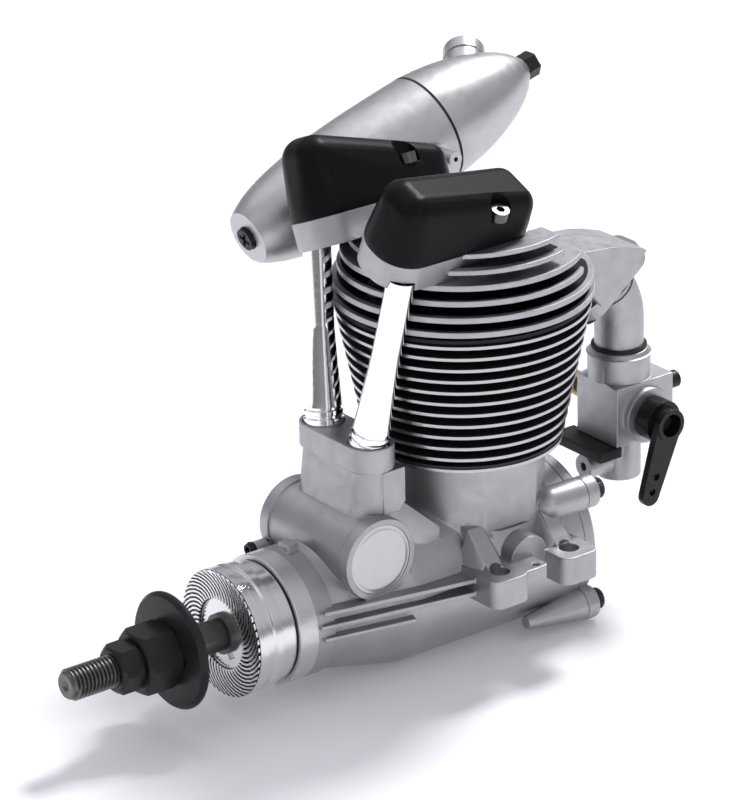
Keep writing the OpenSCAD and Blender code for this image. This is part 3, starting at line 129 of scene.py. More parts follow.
class Shader:
    """One material with a principled surface, and short calls that add nodes to it."""

    def __init__(self, name: str) -> None:
        """Make the empty material.

        Args:
            name: Name of the material.
        """
        self.material = bpy.data.materials.new(name)
        self.material.use_nodes = True
        self.tree = self.material.node_tree
        self.surface = self.tree.nodes["Principled BSDF"]
        self.place = self.add("ShaderNodeTexCoord").outputs["Object"]

    def add(self, kind: str, **settings: object) -> bpy.types.Node:
        """Add a node and set its properties.

        Args:
            kind: Type of the node.
            **settings: Properties of the node by name.

        Returns:
            The new node.
        """
        node = self.tree.nodes.new(kind)
        for key, value in settings.items():
            setattr(node, key, value)
        return node

    def feed(self, socket: Socket, value: object) -> None:
        """Link a socket to another one, or set its value.

        Args:
            socket: Input that is fed.
            value: Output socket, number or colour.
        """
        if isinstance(value, bpy.types.NodeSocket):
            self.tree.links.new(value, socket)
        else:
            socket.default_value = value

    def maths(self, operation: str, *values: object) -> Socket:
        """Calculate with a Math node.

        Args:
            operation: Name of the operation.
            *values: One to three sockets or numbers.

        Returns:
            The result.
        """
        node = self.add("ShaderNodeMath", operation=operation)
        for socket, value in zip(node.inputs, values):
            self.feed(socket, value)
        return node.outputs[0]

    def stretched(self, scale: Sequence[float]) -> Socket:
        """Scale the object coordinates.

        Args:
            scale: Factor on each axis.

        Returns:
            The scaled coordinates.
        """
        node = self.add("ShaderNodeMapping")
        self.feed(node.inputs["Vector"], self.place)
        node.inputs["Scale"].default_value = tuple(scale)
        return node.outputs["Vector"]

    def noise(self, scale: float, detail: float = 2.0, vector: Optional[Socket] = None) -> Socket:
        """Make a noise pattern.

        Args:
            scale: Size of the pattern for each metre.
            detail: Number of finer layers.
            vector: Coordinates to read, or None for the object's own.

        Returns:
            The pattern, with values round one half.
        """
        node = self.add("ShaderNodeTexNoise")
        self.feed(node.inputs["Vector"], vector or self.place)
        node.inputs["Scale"].default_value = scale
        node.inputs["Detail"].default_value = detail
        return node.outputs[0]

    def spread(self, value: Socket, target: Span, source: Span = (LOW_NOISE, HIGH_NOISE)) -> Socket:
        """Move a value from one range to another, and keep it inside.

        Args:
            value: Value to move.
            target: Range of the result.
            source: Range of the value, by default what a noise pattern spans.

        Returns:
            The moved value.
        """
        node = self.add("ShaderNodeMapRange")
        for socket, number in zip(node.inputs, (value, *source, *target)):
            self.feed(socket, number)
        return node.outputs[0]

    def mixed(self, share: object, first: object, second: object) -> Socket:
        """Mix two colours.

        Args:
            share: How much of the second, from 0 to 1.
            first: Colour or socket.
            second: Colour or socket.

        Returns:
            The mixed colour.
        """
        node = self.add("ShaderNodeMix", data_type="RGBA")
        for index, value in ((0, share), (6, first), (7, second)):
            self.feed(node.inputs[index], (*value, 1.0) if isinstance(value, tuple) else value)
        return node.outputs[2]

    def between(self, share: Socket, first: object, second: object) -> Socket:
        """Mix two numbers.

        Args:
            share: How much of the second, from 0 to 1.
            first: Number or socket.
            second: Number or socket.

        Returns:
            The mixed number.
        """
        node = self.add("ShaderNodeMix", data_type="FLOAT")
        for index, value in ((0, share), (2, first), (3, second)):
            self.feed(node.inputs[index], value)
        return node.outputs[0]

    def bump(self, height: Socket, depth: float) -> None:
        """Give the surface a relief.

        Args:
            height: Pattern of the relief, from 0 to 1.
            depth: Height of the relief in metres.
        """
        node = self.add("ShaderNodeBump")
        node.inputs["Strength"].default_value = 1.0
        node.inputs["Distance"].default_value = depth
        self.feed(node.inputs["Height"], height)
        self.feed(self.surface.inputs["Normal"], node.outputs[0])

    def coordinate(self, axis: int) -> Socket:
        """Read one of the object coordinates.

        Args:
            axis: 0 for X to 2 for Z.

        Returns:
            The coordinate in metres.
        """
        node = self.add("ShaderNodeSeparateXYZ")
        self.feed(node.inputs[0], self.place)
        return node.outputs[axis]

    def radius(self, first: int, second: int) -> Socket:
        """Measure the distance from an axis of the frame.

        Args:
            first: One of the two coordinates across the axis.
            second: The other one.

        Returns:
            The distance in metres.
        """
        squares = [self.maths("POWER", self.coordinate(axis), 2.0) for axis in (first, second)]
        return self.maths("SQRT", self.maths("ADD", *squares))


@dataclass(frozen=True)
class PaintedFinShade:
    """Painted shade between the head's fins: dark inside a bright rim that draws in towards the top."""

    low: float = 68.98 * MM
    top: float = 81.2 * MM
    reach: float = 31.9 * MM
    drawn_in: float = 19.5
    rim: float = 1.2 * MM
    rear: float = 27.0 * MM

    def inside(self, shader: Shader) -> Socket:
        """Find where shade is painted between the fins.

        Args:
            shader: Material that is built.

        Returns:
            1 where the shade is painted and 0 elsewhere.
        """
        height = shader.maths("SUBTRACT", shader.coordinate(2), self.low)
        squared = shader.maths("MULTIPLY", height, height)
        edge = shader.maths("MULTIPLY_ADD", squared, -self.drawn_in, self.reach - self.rim)
        parts = (
            shader.maths("LESS_THAN", shader.radius(0, 1), edge),
            shader.maths("LESS_THAN", shader.coordinate(2), self.top),
            shader.maths("LESS_THAN", shader.coordinate(1), self.rear),
        )
        return shader.maths("MULTIPLY", shader.maths("MULTIPLY", parts[0], parts[1]), parts[2])


@dataclass(frozen=True)
class Cast:
    """Bead-blasted cast aluminium with a fine grain and soft mottling."""

    name: str
    colour: Colour = (0.46, 0.46, 0.475)
    roughness: Span = (0.42, 0.54)
    grain: float = 3400.0
    depth: float = 0.000016
    machined_front: Optional[float] = None
    painted_fin_shade: Optional[PaintedFinShade] = None
    mottle: float = 140.0
    patches: float = 420.0
    shade: float = 0.9
    machined_rings: float = 5200.0
    machined_lit_colour: Colour = (0.64, 0.64, 0.65)
    machined_roughness: Span = (0.3, 0.42)
    fin_shade_colour: Colour = (0.03, 0.03, 0.033)

    def build(self) -> bpy.types.Material:
        """Build the material.

        Returns:
            The finished material.
        """
        made = Shader(self.name)
        made.surface.inputs["Metallic"].default_value = 1.0
        grain = made.noise(self.grain, 3.0)
        mottle = made.spread(made.noise(self.mottle, 4.0), (0.0, 1.0))
        colour = made.mixed(mottle, toned(self.colour, self.shade), self.colour)
        rough = made.spread(made.noise(self.patches, 3.0), self.roughness)
        if self.machined_front is not None:
            cut = made.maths("LESS_THAN", made.coordinate(1), self.machined_front)
            rings = made.noise(1.0, 2.0, made.stretched((0.0, self.machined_rings, 0.0)))
            # The machined front is lighter in colour: partly its own bright machined metal, partly painted
            # light where the front catches the light.
            colour = made.mixed(cut, colour, self.machined_lit_colour)
            rough = made.between(cut, rough, made.spread(rings, self.machined_roughness))
        # Painted shade: the hollows between the fins are darkened in the colour.
        if self.painted_fin_shade is not None:
            colour = made.mixed(self.painted_fin_shade.inside(made), colour, self.fin_shade_colour)
        made.feed(made.surface.inputs["Base Color"], colour)
        made.feed(made.surface.inputs["Roughness"], rough)
        made.bump(grain, self.depth)
        return made.material


@dataclass(frozen=True)
class Turned:
    """Metal that was turned or ground, with fine rings along its axis."""

    name: str
    colour: Colour
    roughness: Span
    axis: Axis = Axis.Y
    rings: float = 5200.0
    depth: float = 0.000006
    shaded_tip: Optional[float] = None
    groove_floor: Optional[float] = None
    groove_reach: float = 15.75 * MM
    groove_half: float = 0.12 * MM
    groove_shade_colour: Colour = (0.05, 0.05, 0.055)
    tip_shade_colour: Colour = (0.03, 0.03, 0.03)
    smear: float = 260.0
    shade: float = 0.92

    def build(self) -> bpy.types.Material:
        """Build the material.

        Returns:
            The finished material.
        """
        made = Shader(self.name)
        made.surface.inputs["Metallic"].default_value = 1.0
        lines = made.noise(1.0, 2.0, made.stretched([self.rings * part for part in self.axis.value]))
        smear = made.noise(self.smear, 3.0)
        colour = made.mixed(smear, toned(self.colour, self.shade), self.colour)
        # Painted shade: the tip is darkened where the open end of the nipple lies in shade.
        if self.shaded_tip is not None:
            tip = made.maths("LESS_THAN", made.coordinate(1), self.shaded_tip)
            colour = made.mixed(tip, colour, self.tip_shade_colour)
        # Painted shade: a thin dark band on the floor of the washer's grooves.
        if self.groove_floor is not None:
            off = made.maths("ABSOLUTE", made.maths("SUBTRACT", made.coordinate(1), self.groove_floor))
            near = made.maths("LESS_THAN", off, self.groove_half)
            inside = made.maths("LESS_THAN", made.radius(0, 2), self.groove_reach)
            colour = made.mixed(made.maths("MULTIPLY", near, inside), colour, self.groove_shade_colour)
        made.feed(made.surface.inputs["Base Color"], colour)
        made.feed(made.surface.inputs["Roughness"], made.spread(lines, self.roughness))
        made.bump(lines, self.depth)
        return made.material


@dataclass(frozen=True)
class Fins:
    """Cylinder fins, dark but for rims that were cut bright."""

    name: str
    deck: float = 31.3 * MM
    low_radius: float = 24.1 * MM
    taper: float = 0.205
    rim: float = 0.35 * MM
    rings: float = 9000.0
    bare_colour: Colour = (0.5, 0.5, 0.52)
    bare_roughness: Span = (0.2, 0.34)
    black: Span = (0.012, 0.03)
    black_roughness: float = 0.5
    wear: float = 900.0
    wear_noise: Span = (0.35, 0.65)
    grain: float = 3200.0
    depth: float = 0.00001

    def build(self) -> bpy.types.Material:
        """Build the material.

        Returns:
            The finished material.
        """
        made = Shader(self.name)
        height = made.maths("SUBTRACT", made.coordinate(2), self.deck)
        edge = made.maths("MULTIPLY_ADD", height, self.taper, self.low_radius - self.rim)
        bare = made.maths("GREATER_THAN", made.radius(0, 1), edge)
        rings = made.noise(1.0, 2.0, made.stretched((0.0, 0.0, self.rings)))
        worn = made.spread(made.noise(self.wear, 3.0), self.black, self.wear_noise)
        dark = made.add("ShaderNodeCombineColor")
        for socket in dark.inputs[:3]:
            made.feed(socket, worn)
        colour = made.mixed(bare, dark.outputs[0], self.bare_colour)
        rough = made.between(bare, self.black_roughness, made.spread(rings, self.bare_roughness))
        made.feed(made.surface.inputs["Base Color"], colour)
        made.feed(made.surface.inputs["Metallic"], bare)
        made.feed(made.surface.inputs["Roughness"], rough)
        made.bump(made.noise(self.grain, 2.0), self.depth)
        return made.material


@dataclass(frozen=True)
class Coated:
    """Moulded plastic, rubber or blackened steel: dark, with a fine skin."""

    name: str
    colour: Colour
    roughness: Span
    grain: float = 5200.0
    depth: float = 0.000008
    metallic: float = 0.0
    gloss: float = 0.3
    cloud: float = 190.0
    patches: float = 700.0
    shades: Span = (0.8, 1.15)

    def build(self) -> bpy.types.Material:
        """Build the material.

        Returns:
            The finished material.
        """
        made = Shader(self.name)
        made.surface.inputs["Metallic"].default_value = self.metallic
        made.surface.inputs["Specular IOR Level"].default_value = self.gloss
        cloud = made.spread(made.noise(self.cloud, 3.0), (0.0, 1.0))
        colour = made.mixed(cloud, *(toned(self.colour, shade) for shade in self.shades))
        rough = made.spread(made.noise(self.patches, 3.0), self.roughness)
        made.feed(made.surface.inputs["Base Color"], colour)
        made.feed(made.surface.inputs["Roughness"], rough)
        made.bump(made.noise(self.grain, 2.0), self.depth)
        return made.material


class Finish(Enum):
    """Every finish of the engine."""

    CASE = Cast("cast_case", machined_front=-57.2 * MM)
    # Painted shade between the fins of the head and between the two upper fins.
    HEAD = Cast("cast_head", painted_fin_shade=PaintedFinShade())
    UPPER = Cast("cast_upper_fins", painted_fin_shade=PaintedFinShade(top=88.2 * MM, rim=0.8 * MM))
    CAST = Cast("cast_small")
    SHELL = Cast("cast_shell", (0.54, 0.54, 0.55), (0.36, 0.46), 3000.0, 0.00001)
    FINS = Fins("dark_fins_bright_rims")
    TUBE = Turned("polished_tube", (0.92, 0.92, 0.93), (0.05, 0.11), Axis.Z, 900.0, 0.000001)
    WASHER = Turned("turned_alloy", (0.78, 0.78, 0.79), (0.16, 0.28), groove_floor=-73.8 * MM)
    MACHINED = Turned("machined_alloy", (0.56, 0.56, 0.575), (0.3, 0.42), Axis.X)
    NIPPLE = Turned("machined_nipple", (0.7, 0.7, 0.72), (0.26, 0.38), shaded_tip=-52.9 * MM)
    SHAFT = Turned("ground_shaft", (0.15, 0.147, 0.14), (0.32, 0.46))
    STEEL = Turned("bright_steel", (0.5, 0.5, 0.5), (0.24, 0.36))
    BRASS = Turned("turned_brass", (0.5, 0.38, 0.19), (0.26, 0.38), Axis.X)
    COVER = Coated("satin_cover", (0.004, 0.004, 0.005), (0.34, 0.44), 4200.0, 0.00001, gloss=0.12)
    ARM = Coated("moulded_arm", (0.006, 0.006, 0.007), (0.26, 0.36))
    BLACKED = Coated("blacked_steel", (0.022, 0.022, 0.024), (0.34, 0.46), 3600.0, 0.00001, 0.35)
    RUBBER = Coated("rubber", (0.014, 0.014, 0.014), (0.55, 0.7), 6000.0, 0.00001)


NODES_OF: dict[Finish, tuple[str, ...]] = {
    Finish.CASE: ("crankcase",),
    Finish.HEAD: ("cylinder_head",),
    Finish.CAST: ("rear_cover", "intake_pipe", "carburettor"),
    Finish.SHELL: ("muffler_front", "muffler_rear"),
    Finish.FINS: ("cylinder",),
    Finish.TUBE: ("pushrod_tube_right", "pushrod_tube_left", "exhaust_header"),
    Finish.WASHER: ("drive_washer",),
    Finish.MACHINED: ("cam_cover_right", "cam_cover_left", "piston", "connecting_rod", "pressure_nipple"),
    Finish.NIPPLE: ("breather_nipple",),
    Finish.SHAFT: ("crankshaft", "rocker_cover_screws"),
    Finish.STEEL: (
        "main_bearing", "main_bearing_inner", "front_bearing", "front_bearing_inner",
        "drive_key", "camshaft", "intake_tappet", "exhaust_tappet", "intake_pushrod",
        "exhaust_pushrod", "cylinder_liner", "head_screws", "intake_rocker", "exhaust_rocker",
        "rocker_shafts", "intake_valve", "exhaust_valve", "intake_retainer",
        "exhaust_retainer", "valve_springs", "piston_ring", "wrist_pin", "throttle_barrel",
    ),
    Finish.BRASS: ("cam_bearings", "needle_valve", "glow_plug"),
    Finish.COVER: ("rocker_cover_right", "rocker_cover_left"),
    Finish.ARM: ("throttle_arm",),
    Finish.BLACKED: (
        "rear_cover_screws", "prop_washer", "prop_nut", "lock_nut", "intake_screws",
        "muffler_bolt", "throttle_screw", "idle_stop_screw",
    ),
    Finish.RUBBER: ("tube_seals", "intake_seal", "muffler_seal"),
}

EDGE_WIDTHS: dict[str, float] = {
    "crankcase": 0.35 * MM,
    "cylinder_head": 0.22 * MM,
    "cylinder": 0.12 * MM,
    "rear_cover": 0.3 * MM,
    "carburettor": 0.35 * MM,
    "intake_pipe": 0.3 * MM,
    "drive_washer": 0.08 * MM,
    "prop_washer": 0.25 * MM,
    "throttle_arm": 0.2 * MM,
    "rocker_cover_right": 0.3 * MM,
    "rocker_cover_left": 0.3 * MM,
    "muffler_bolt": 0.15 * MM,
    "cam_cover_right": 0.1 * MM,
    "cam_cover_left": 0.1 * MM,
}


class Wardrobe:
    """Builds each finish once, and hands it out."""

    def __init__(self) -> None:
        """Start with no finish built."""
        self.built: dict[Finish, bpy.types.Material] = {}

    def get(self, finish: Finish) -> bpy.types.Material:
        """Look up the material of a finish.

        Args:
            finish: Finish that is wanted.

        Returns:
            Its material, built at the first call.
        """
        if finish not in self.built:
            self.built[finish] = finish.value.build()
        return self.built[finish]

    def dress(self, piece: bpy.types.Object, finish: Finish) -> None:
        """Give a piece one finish all over.

        Args:
            piece: Object that gets it.
            finish: The finish.
        """
        piece.data.materials.clear()
        piece.data.materials.append(self.get(finish))


@dataclass
class EdgeWork:
    """Welds a node's loose triangles, rounds its edges and shades it smoothly."""

    weld: float = WELD
    flat: float = math.radians(0.15)
    edge: float = math.radians(32.0)
    segments: int = 2
    group: Optional[bpy.types.NodeTree] = None

    def smooth_group(self) -> bpy.types.NodeTree:
        """Look up the node group that shades smooth up to the edge angle.

        Returns:
            The group, built at the first call.
        """
        if self.group is None:
            tree = bpy.data.node_groups.new("smooth_by_edge", "GeometryNodeTree")
            for way in ("INPUT", "OUTPUT"):
                tree.interface.new_socket("Geometry", in_out=way, socket_type="NodeSocketGeometry")
            start, end = tree.nodes.new("NodeGroupInput"), tree.nodes.new("NodeGroupOutput")
            angle = tree.nodes.new("GeometryNodeInputMeshEdgeAngle")
            above = tree.nodes.new("FunctionNodeCompare")
            above.data_type, above.operation = "FLOAT", "GREATER_THAN"
            above.inputs[1].default_value = self.edge
            faces, edges = (tree.nodes.new("GeometryNodeSetShadeSmooth") for _ in range(2))
            faces.domain, edges.domain = "FACE", "EDGE"
            edges.inputs["Shade Smooth"].default_value = False
            tree.links.new(start.outputs[0], faces.inputs[0])
            tree.links.new(faces.outputs[0], edges.inputs[0])
            tree.links.new(angle.outputs[0], above.inputs[0])
            tree.links.new(above.outputs[0], edges.inputs["Selection"])
            tree.links.new(edges.outputs[0], end.inputs[0])
            self.group = tree
        return self.group

    def finish(self, piece: bpy.types.Object, width: Optional[float], welded: bool = False) -> None:
        """Add the modifiers to a piece.

        Args:
            piece: Object that gets them.
            width: Width of the rounded edges, or None to leave them sharp.
            welded: Whether the mesh has no loose triangles.
        """
        if not welded:
            weld = piece.modifiers.new("weld", "WELD")
            weld.merge_threshold = self.weld
        if width is not None:
            if not welded:
                planar = piece.modifiers.new("planar", "DECIMATE")
                planar.decimate_type = "DISSOLVE"
                planar.angle_limit = self.flat
            bevel = piece.modifiers.new("bevel", "BEVEL")
            bevel.width = width
            bevel.segments = self.segments
            bevel.limit_method = "ANGLE"
            bevel.angle_limit = self.edge
            bevel.use_clamp_overlap = False
            bevel.harden_normals = False
        smooth = piece.modifiers.new("smooth", "NODES")
        smooth.node_group = self.smooth_group()
        weighted = piece.modifiers.new("weighted", "WEIGHTED_NORMAL")
        weighted.keep_sharp = True


def keep_piece(mesh: Mesh, name: str) -> bpy.types.Object:
    """Turn a bmesh into an object of the scene.

    Args:
        mesh: Finished mesh, which is freed.
        name: Name of the piece.

    Returns:
        The object, at the origin.
    """
    bmesh.ops.remove_doubles(mesh, verts=mesh.verts, dist=MERGE)
    bmesh.ops.recalc_face_normals(mesh, faces=mesh.faces)
    data = bpy.data.meshes.new(name)
    mesh.to_mesh(data)
    mesh.free()
    piece = bpy.data.objects.new(name, data)
    bpy.context.scene.collection.objects.link(piece)
    return piece


def absorb(mesh: Mesh, part: Mesh) -> None:
    """Add a part to a mesh.

    Args:
        mesh: Mesh that gets the part.
        part: Mesh that is added, and freed.
    """
    data = bpy.data.meshes.new("part")
    part.to_mesh(data)
    part.free()
    mesh.from_mesh(data)
    bpy.data.meshes.remove(data)


def cut_flat(mesh: Mesh, point: Triple, normal: Triple) -> None:
    """Cut off what lies beyond a plane, and close the cut.

    Args:
        mesh: Mesh that is cut.
        point: A point of the plane.
        normal: Direction of the side that goes.
    """
    geometry = mesh.verts[:] + mesh.edges[:] + mesh.faces[:]
    made = bmesh.ops.bisect_plane(
        mesh, geom=geometry, dist=MERGE, plane_co=point, plane_no=normal, clear_outer=True,
    )
    rim = [item for item in made["geom_cut"] if isinstance(item, bmesh.types.BMEdge)]
    bmesh.ops.holes_fill(mesh, edges=rim, sides=0)


def ring_of(mesh: Mesh, count: int, radius: float, height: float) -> Verts:
    """Draw a circle about Z.

    Args:
        mesh: Mesh that gets the circle.
        count: Number of its vertices.
        radius: Its radius.
        height: Its height.

    Returns:
        The vertices of the circle.
    """
    place = Matrix.Translation((0.0, 0.0, height))
    made = bmesh.ops.create_circle(mesh, cap_ends=False, segments=count, radius=radius, matrix=place)
    return made["verts"]


def turned(mesh: Mesh, profile: Sequence[Span], count: int, place: Matrix) -> None:
    """Add a body turned about Z to a mesh, closed at both ends.

    Args:
        mesh: Mesh that gets the body.
        profile: Points of radius and height, from one end to the other, on the axis at both ends.
        count: Number of steps of the turn.
        place: Where the body stands.
    """
    verts = [mesh.verts.new((radius, 0.0, height)) for radius, height in profile]
    edges = [mesh.edges.new(pair) for pair in zip(verts, verts[1:])]
    made = bmesh.ops.spin(
        mesh, geom=verts + edges, cent=(0, 0, 0), axis=(0, 0, 1), dvec=(0, 0, 0),
        angle=2 * math.pi, steps=count, use_merge=True, use_duplicate=False,
    )
    linked = set(verts)
    linked.update(item for item in made["geom_last"] if isinstance(item, bmesh.types.BMVert))
    body = whole_bodies(linked)
    bmesh.ops.remove_doubles(mesh, verts=body, dist=MERGE)
    body = whole_bodies({vert for vert in body if vert.is_valid})
    bmesh.ops.transform(mesh, matrix=place, verts=body)


def whole_bodies(start: set[bmesh.types.BMVert]) -> Verts:
    """Find the bodies that some vertices belong to.

    Args:
        start: Vertices to start from.

    Returns:
        Every vertex that is joined to them by edges.
    """
    found, todo = set(start), list(start)
    while todo:
        vert = todo.pop()
        for edge in vert.link_edges:
            other = edge.other_vert(vert)
            if other not in found:
                found.add(other)
                todo.append(other)
    return list(found)


@dataclass(frozen=True)
class Sun:
    """Soft far lamp: direction to it, light on a face turned to it, width in degrees."""

    name: str
    towards: Triple
    power: float
    spread: float


@dataclass(frozen=True)
class Softbox:
    """Flat lamp: its place from the middle of the engine, width and height, and watts."""

    name: str
    at: Triple
    size: Span
    power: float


@dataclass
class Studio:
    """White studio: floor, world, lamps and the camera of the photograph."""

    centre: Triple = (0.0, -0.012, 0.045)
    camera_at: Triple = (0.7890293, -0.6214781, 0.4591597)
    right: Triple = (0.606999, 0.794490, -0.018390)
    up: Triple = (-0.295395, 0.247047, 0.922881)
    back: Triple = (0.737763, -0.554756, 0.384645)
    focal_pixels: float = 4475.37
    picture_height: int = 800
    sensor: float = 36.0
    clip: Span = (0.01, 100.0)
    floor_drop: float = 0.0002
    floor_reach: float = 12.0
    floor_colour: tuple[float, ...] = (0.93, 0.93, 0.95, 1.0)
    floor_glow: float = 0.1
    blueness: float = 1.05
    glossy_white: float = 0.15
    by_height: tuple[Span, ...] = ((0.5, 0.06), (1.0, 0.6), (0.56, 0.1), (0.66, 0.5))
    by_side: tuple[Span, ...] = ((0.0, 0.7), (1.0, 1.0), (0.5, 0.8))
    suns: tuple[Sun, ...] = (
        Sun("key", (-0.25, 0.75, 1.0), 2.5, 14.0),
        Sun("left_fill", (-0.5, -0.05, 0.85), 0.3, 50.0),
    )
    softboxes: tuple[Softbox, ...] = (
        Softbox("right_box", (0.9, -0.1, 0.35), (0.5, 0.9), 0.8),
        Softbox("front_box", (0.1, -0.9, 0.9), (0.5, 0.5), 0.35),
    )

    def camera(self) -> None:
        """Create the camera at the photograph's viewing angle."""
        data = bpy.data.cameras.new("camera")
        data.sensor_fit = "VERTICAL"
        data.sensor_height = self.sensor
        data.lens = self.focal_pixels * self.sensor / self.picture_height
        data.clip_start, data.clip_end = self.clip
        camera = bpy.data.objects.new("camera", data)
        turn = Matrix((self.right, self.up, self.back)).transposed().to_4x4()
        camera.matrix_world = Matrix.Translation(self.camera_at) @ turn
        bpy.context.scene.collection.objects.link(camera)
        bpy.context.scene.camera = camera

    def floor(self, low: float) -> None:
        """Lay the floor under the engine.

        Args:
            low: Height of the engine's lowest point.
        """
        mesh = bmesh.new()
        place = Matrix.Translation((0.0, 0.0, low - self.floor_drop))
        bmesh.ops.create_grid(mesh, x_segments=2, y_segments=2, size=self.floor_reach, matrix=place)
        floor = keep_piece(mesh, "floor")
        made = Shader("floor_paint")
        tree = made.tree
        tree.nodes.remove(made.surface)
        out = next(node for node in tree.nodes if node.type == "OUTPUT_MATERIAL")
        diffuse = made.add("ShaderNodeBsdfDiffuse")
        diffuse.inputs["Color"].default_value = self.floor_colour
        glow = made.add("ShaderNodeEmission")
        glow.inputs["Color"].default_value = WHITE
        path = made.add("ShaderNodeLightPath")
        seen = made.maths("MAXIMUM", path.outputs["Is Camera Ray"], path.outputs["Is Glossy Ray"])
        made.feed(glow.inputs["Strength"], made.maths("MULTIPLY", seen, self.floor_glow))
        total = made.add("ShaderNodeAddShader")
        made.feed(total.inputs[0], diffuse.outputs[0])
        made.feed(total.inputs[1], glow.outputs[0])
        made.feed(out.inputs["Surface"], total.outputs[0])
        floor.data.materials.append(made.material)
        floor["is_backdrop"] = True

    def world(self) -> None:
        """Light the engine softly from a pale room, dimmer at the horizon and to the left."""
        world = bpy.data.worlds.new("room")
        bpy.context.scene.world = world
        world.use_nodes = True
        tree = world.node_tree
        tree.nodes.clear()
        out, back, where, path = (
            tree.nodes.new(kind) for kind in
            ("ShaderNodeOutputWorld", "ShaderNodeBackground", "ShaderNodeTexCoord", "ShaderNodeLightPath")
        )
        split = tree.nodes.new("ShaderNodeSeparateXYZ")
        tree.links.new(where.outputs["Generated"], split.inputs[0])
        levels = [
            self.level(tree, split.outputs[output], stops)
            for output, stops in ((2, self.by_height), (0, self.by_side))
        ]
        product, shown = (tree.nodes.new("ShaderNodeMix") for _ in range(2))
        product.data_type = shown.data_type = "RGBA"
        product.blend_type = "MULTIPLY"
        product.inputs[0].default_value = 1.0
        for socket, level in zip((product.inputs[6], product.inputs[7]), levels):
            tree.links.new(level, socket)
        whiter = tree.nodes.new("ShaderNodeMath")
        whiter.operation = "MULTIPLY_ADD"
        whiter.inputs[1].default_value = self.glossy_white
        tree.links.new(path.outputs["Is Glossy Ray"], whiter.inputs[0])
        tree.links.new(path.outputs["Is Camera Ray"], whiter.inputs[2])
        tree.links.new(whiter.outputs[0], shown.inputs[0])
        tree.links.new(product.outputs[2], shown.inputs[6])
        shown.inputs[7].default_value = WHITE
        tree.links.new(shown.outputs[2], back.inputs["Color"])
        tree.links.new(back.outputs[0], out.inputs["Surface"])

    def level(self, tree: bpy.types.NodeTree, value: Socket, stops: Sequence[Span]) -> Socket:
        """Give the light of the room along one direction.

        Args:
            tree: Nodes of the world.
            value: Coordinate from -1 to 1 in that direction.
            stops: Places from 0 to 1, each with its level of light, both ends first.

        Returns:
            The colour of the light.
        """
        shift = tree.nodes.new("ShaderNodeMapRange")
        shift.inputs["From Min"].default_value = -1.0
        tree.links.new(value, shift.inputs["Value"])
        ramp = tree.nodes.new("ShaderNodeValToRGB")
        elements = ramp.color_ramp.elements
        for index, (place, level) in enumerate(stops):
            stop = elements[index] if index < 2 else elements.new(place)
            stop.position, stop.color = place, (level, level, self.blueness * level, 1.0)
        tree.links.new(shift.outputs[0], ramp.inputs[0])
        return ramp.outputs[0]

    def sun(self, plan: Sun) -> None:
        """Add a soft far lamp.

        Args:
            plan: What the lamp is like.
        """
        data = bpy.data.lights.new(plan.name, "SUN")
        data.energy, data.angle = plan.power, math.radians(plan.spread)
        lamp = bpy.data.objects.new(plan.name, data)
        lamp.rotation_euler = Vector(plan.towards).to_track_quat("Z", "Y").to_euler()
        bpy.context.scene.collection.objects.link(lamp)

    def softbox(self, plan: Softbox) -> None:
        """Add a flat lamp that faces the engine.

        Args:
            plan: What the lamp is like.
        """
        data = bpy.data.lights.new(plan.name, "AREA")
        data.shape, data.energy = "RECTANGLE", plan.power
        data.size, data.size_y = plan.size
        lamp = bpy.data.objects.new(plan.name, data)
        lamp.location = Vector(self.centre) + Vector(plan.at)
        lamp.rotation_euler = Vector(plan.at).to_track_quat("Z", "Y").to_euler()
        bpy.context.scene.collection.objects.link(lamp)

    def build(self, low: float) -> None:
        """Build the whole studio.

        Args:
            low: Height of the engine's lowest point.
        """
        bpy.context.scene.view_settings.view_transform = "Standard"
        self.camera()
        self.floor(low)
        self.world()
        for plan in self.suns:
            self.sun(plan)
        for plan in self.softboxes:
            self.softbox(plan)


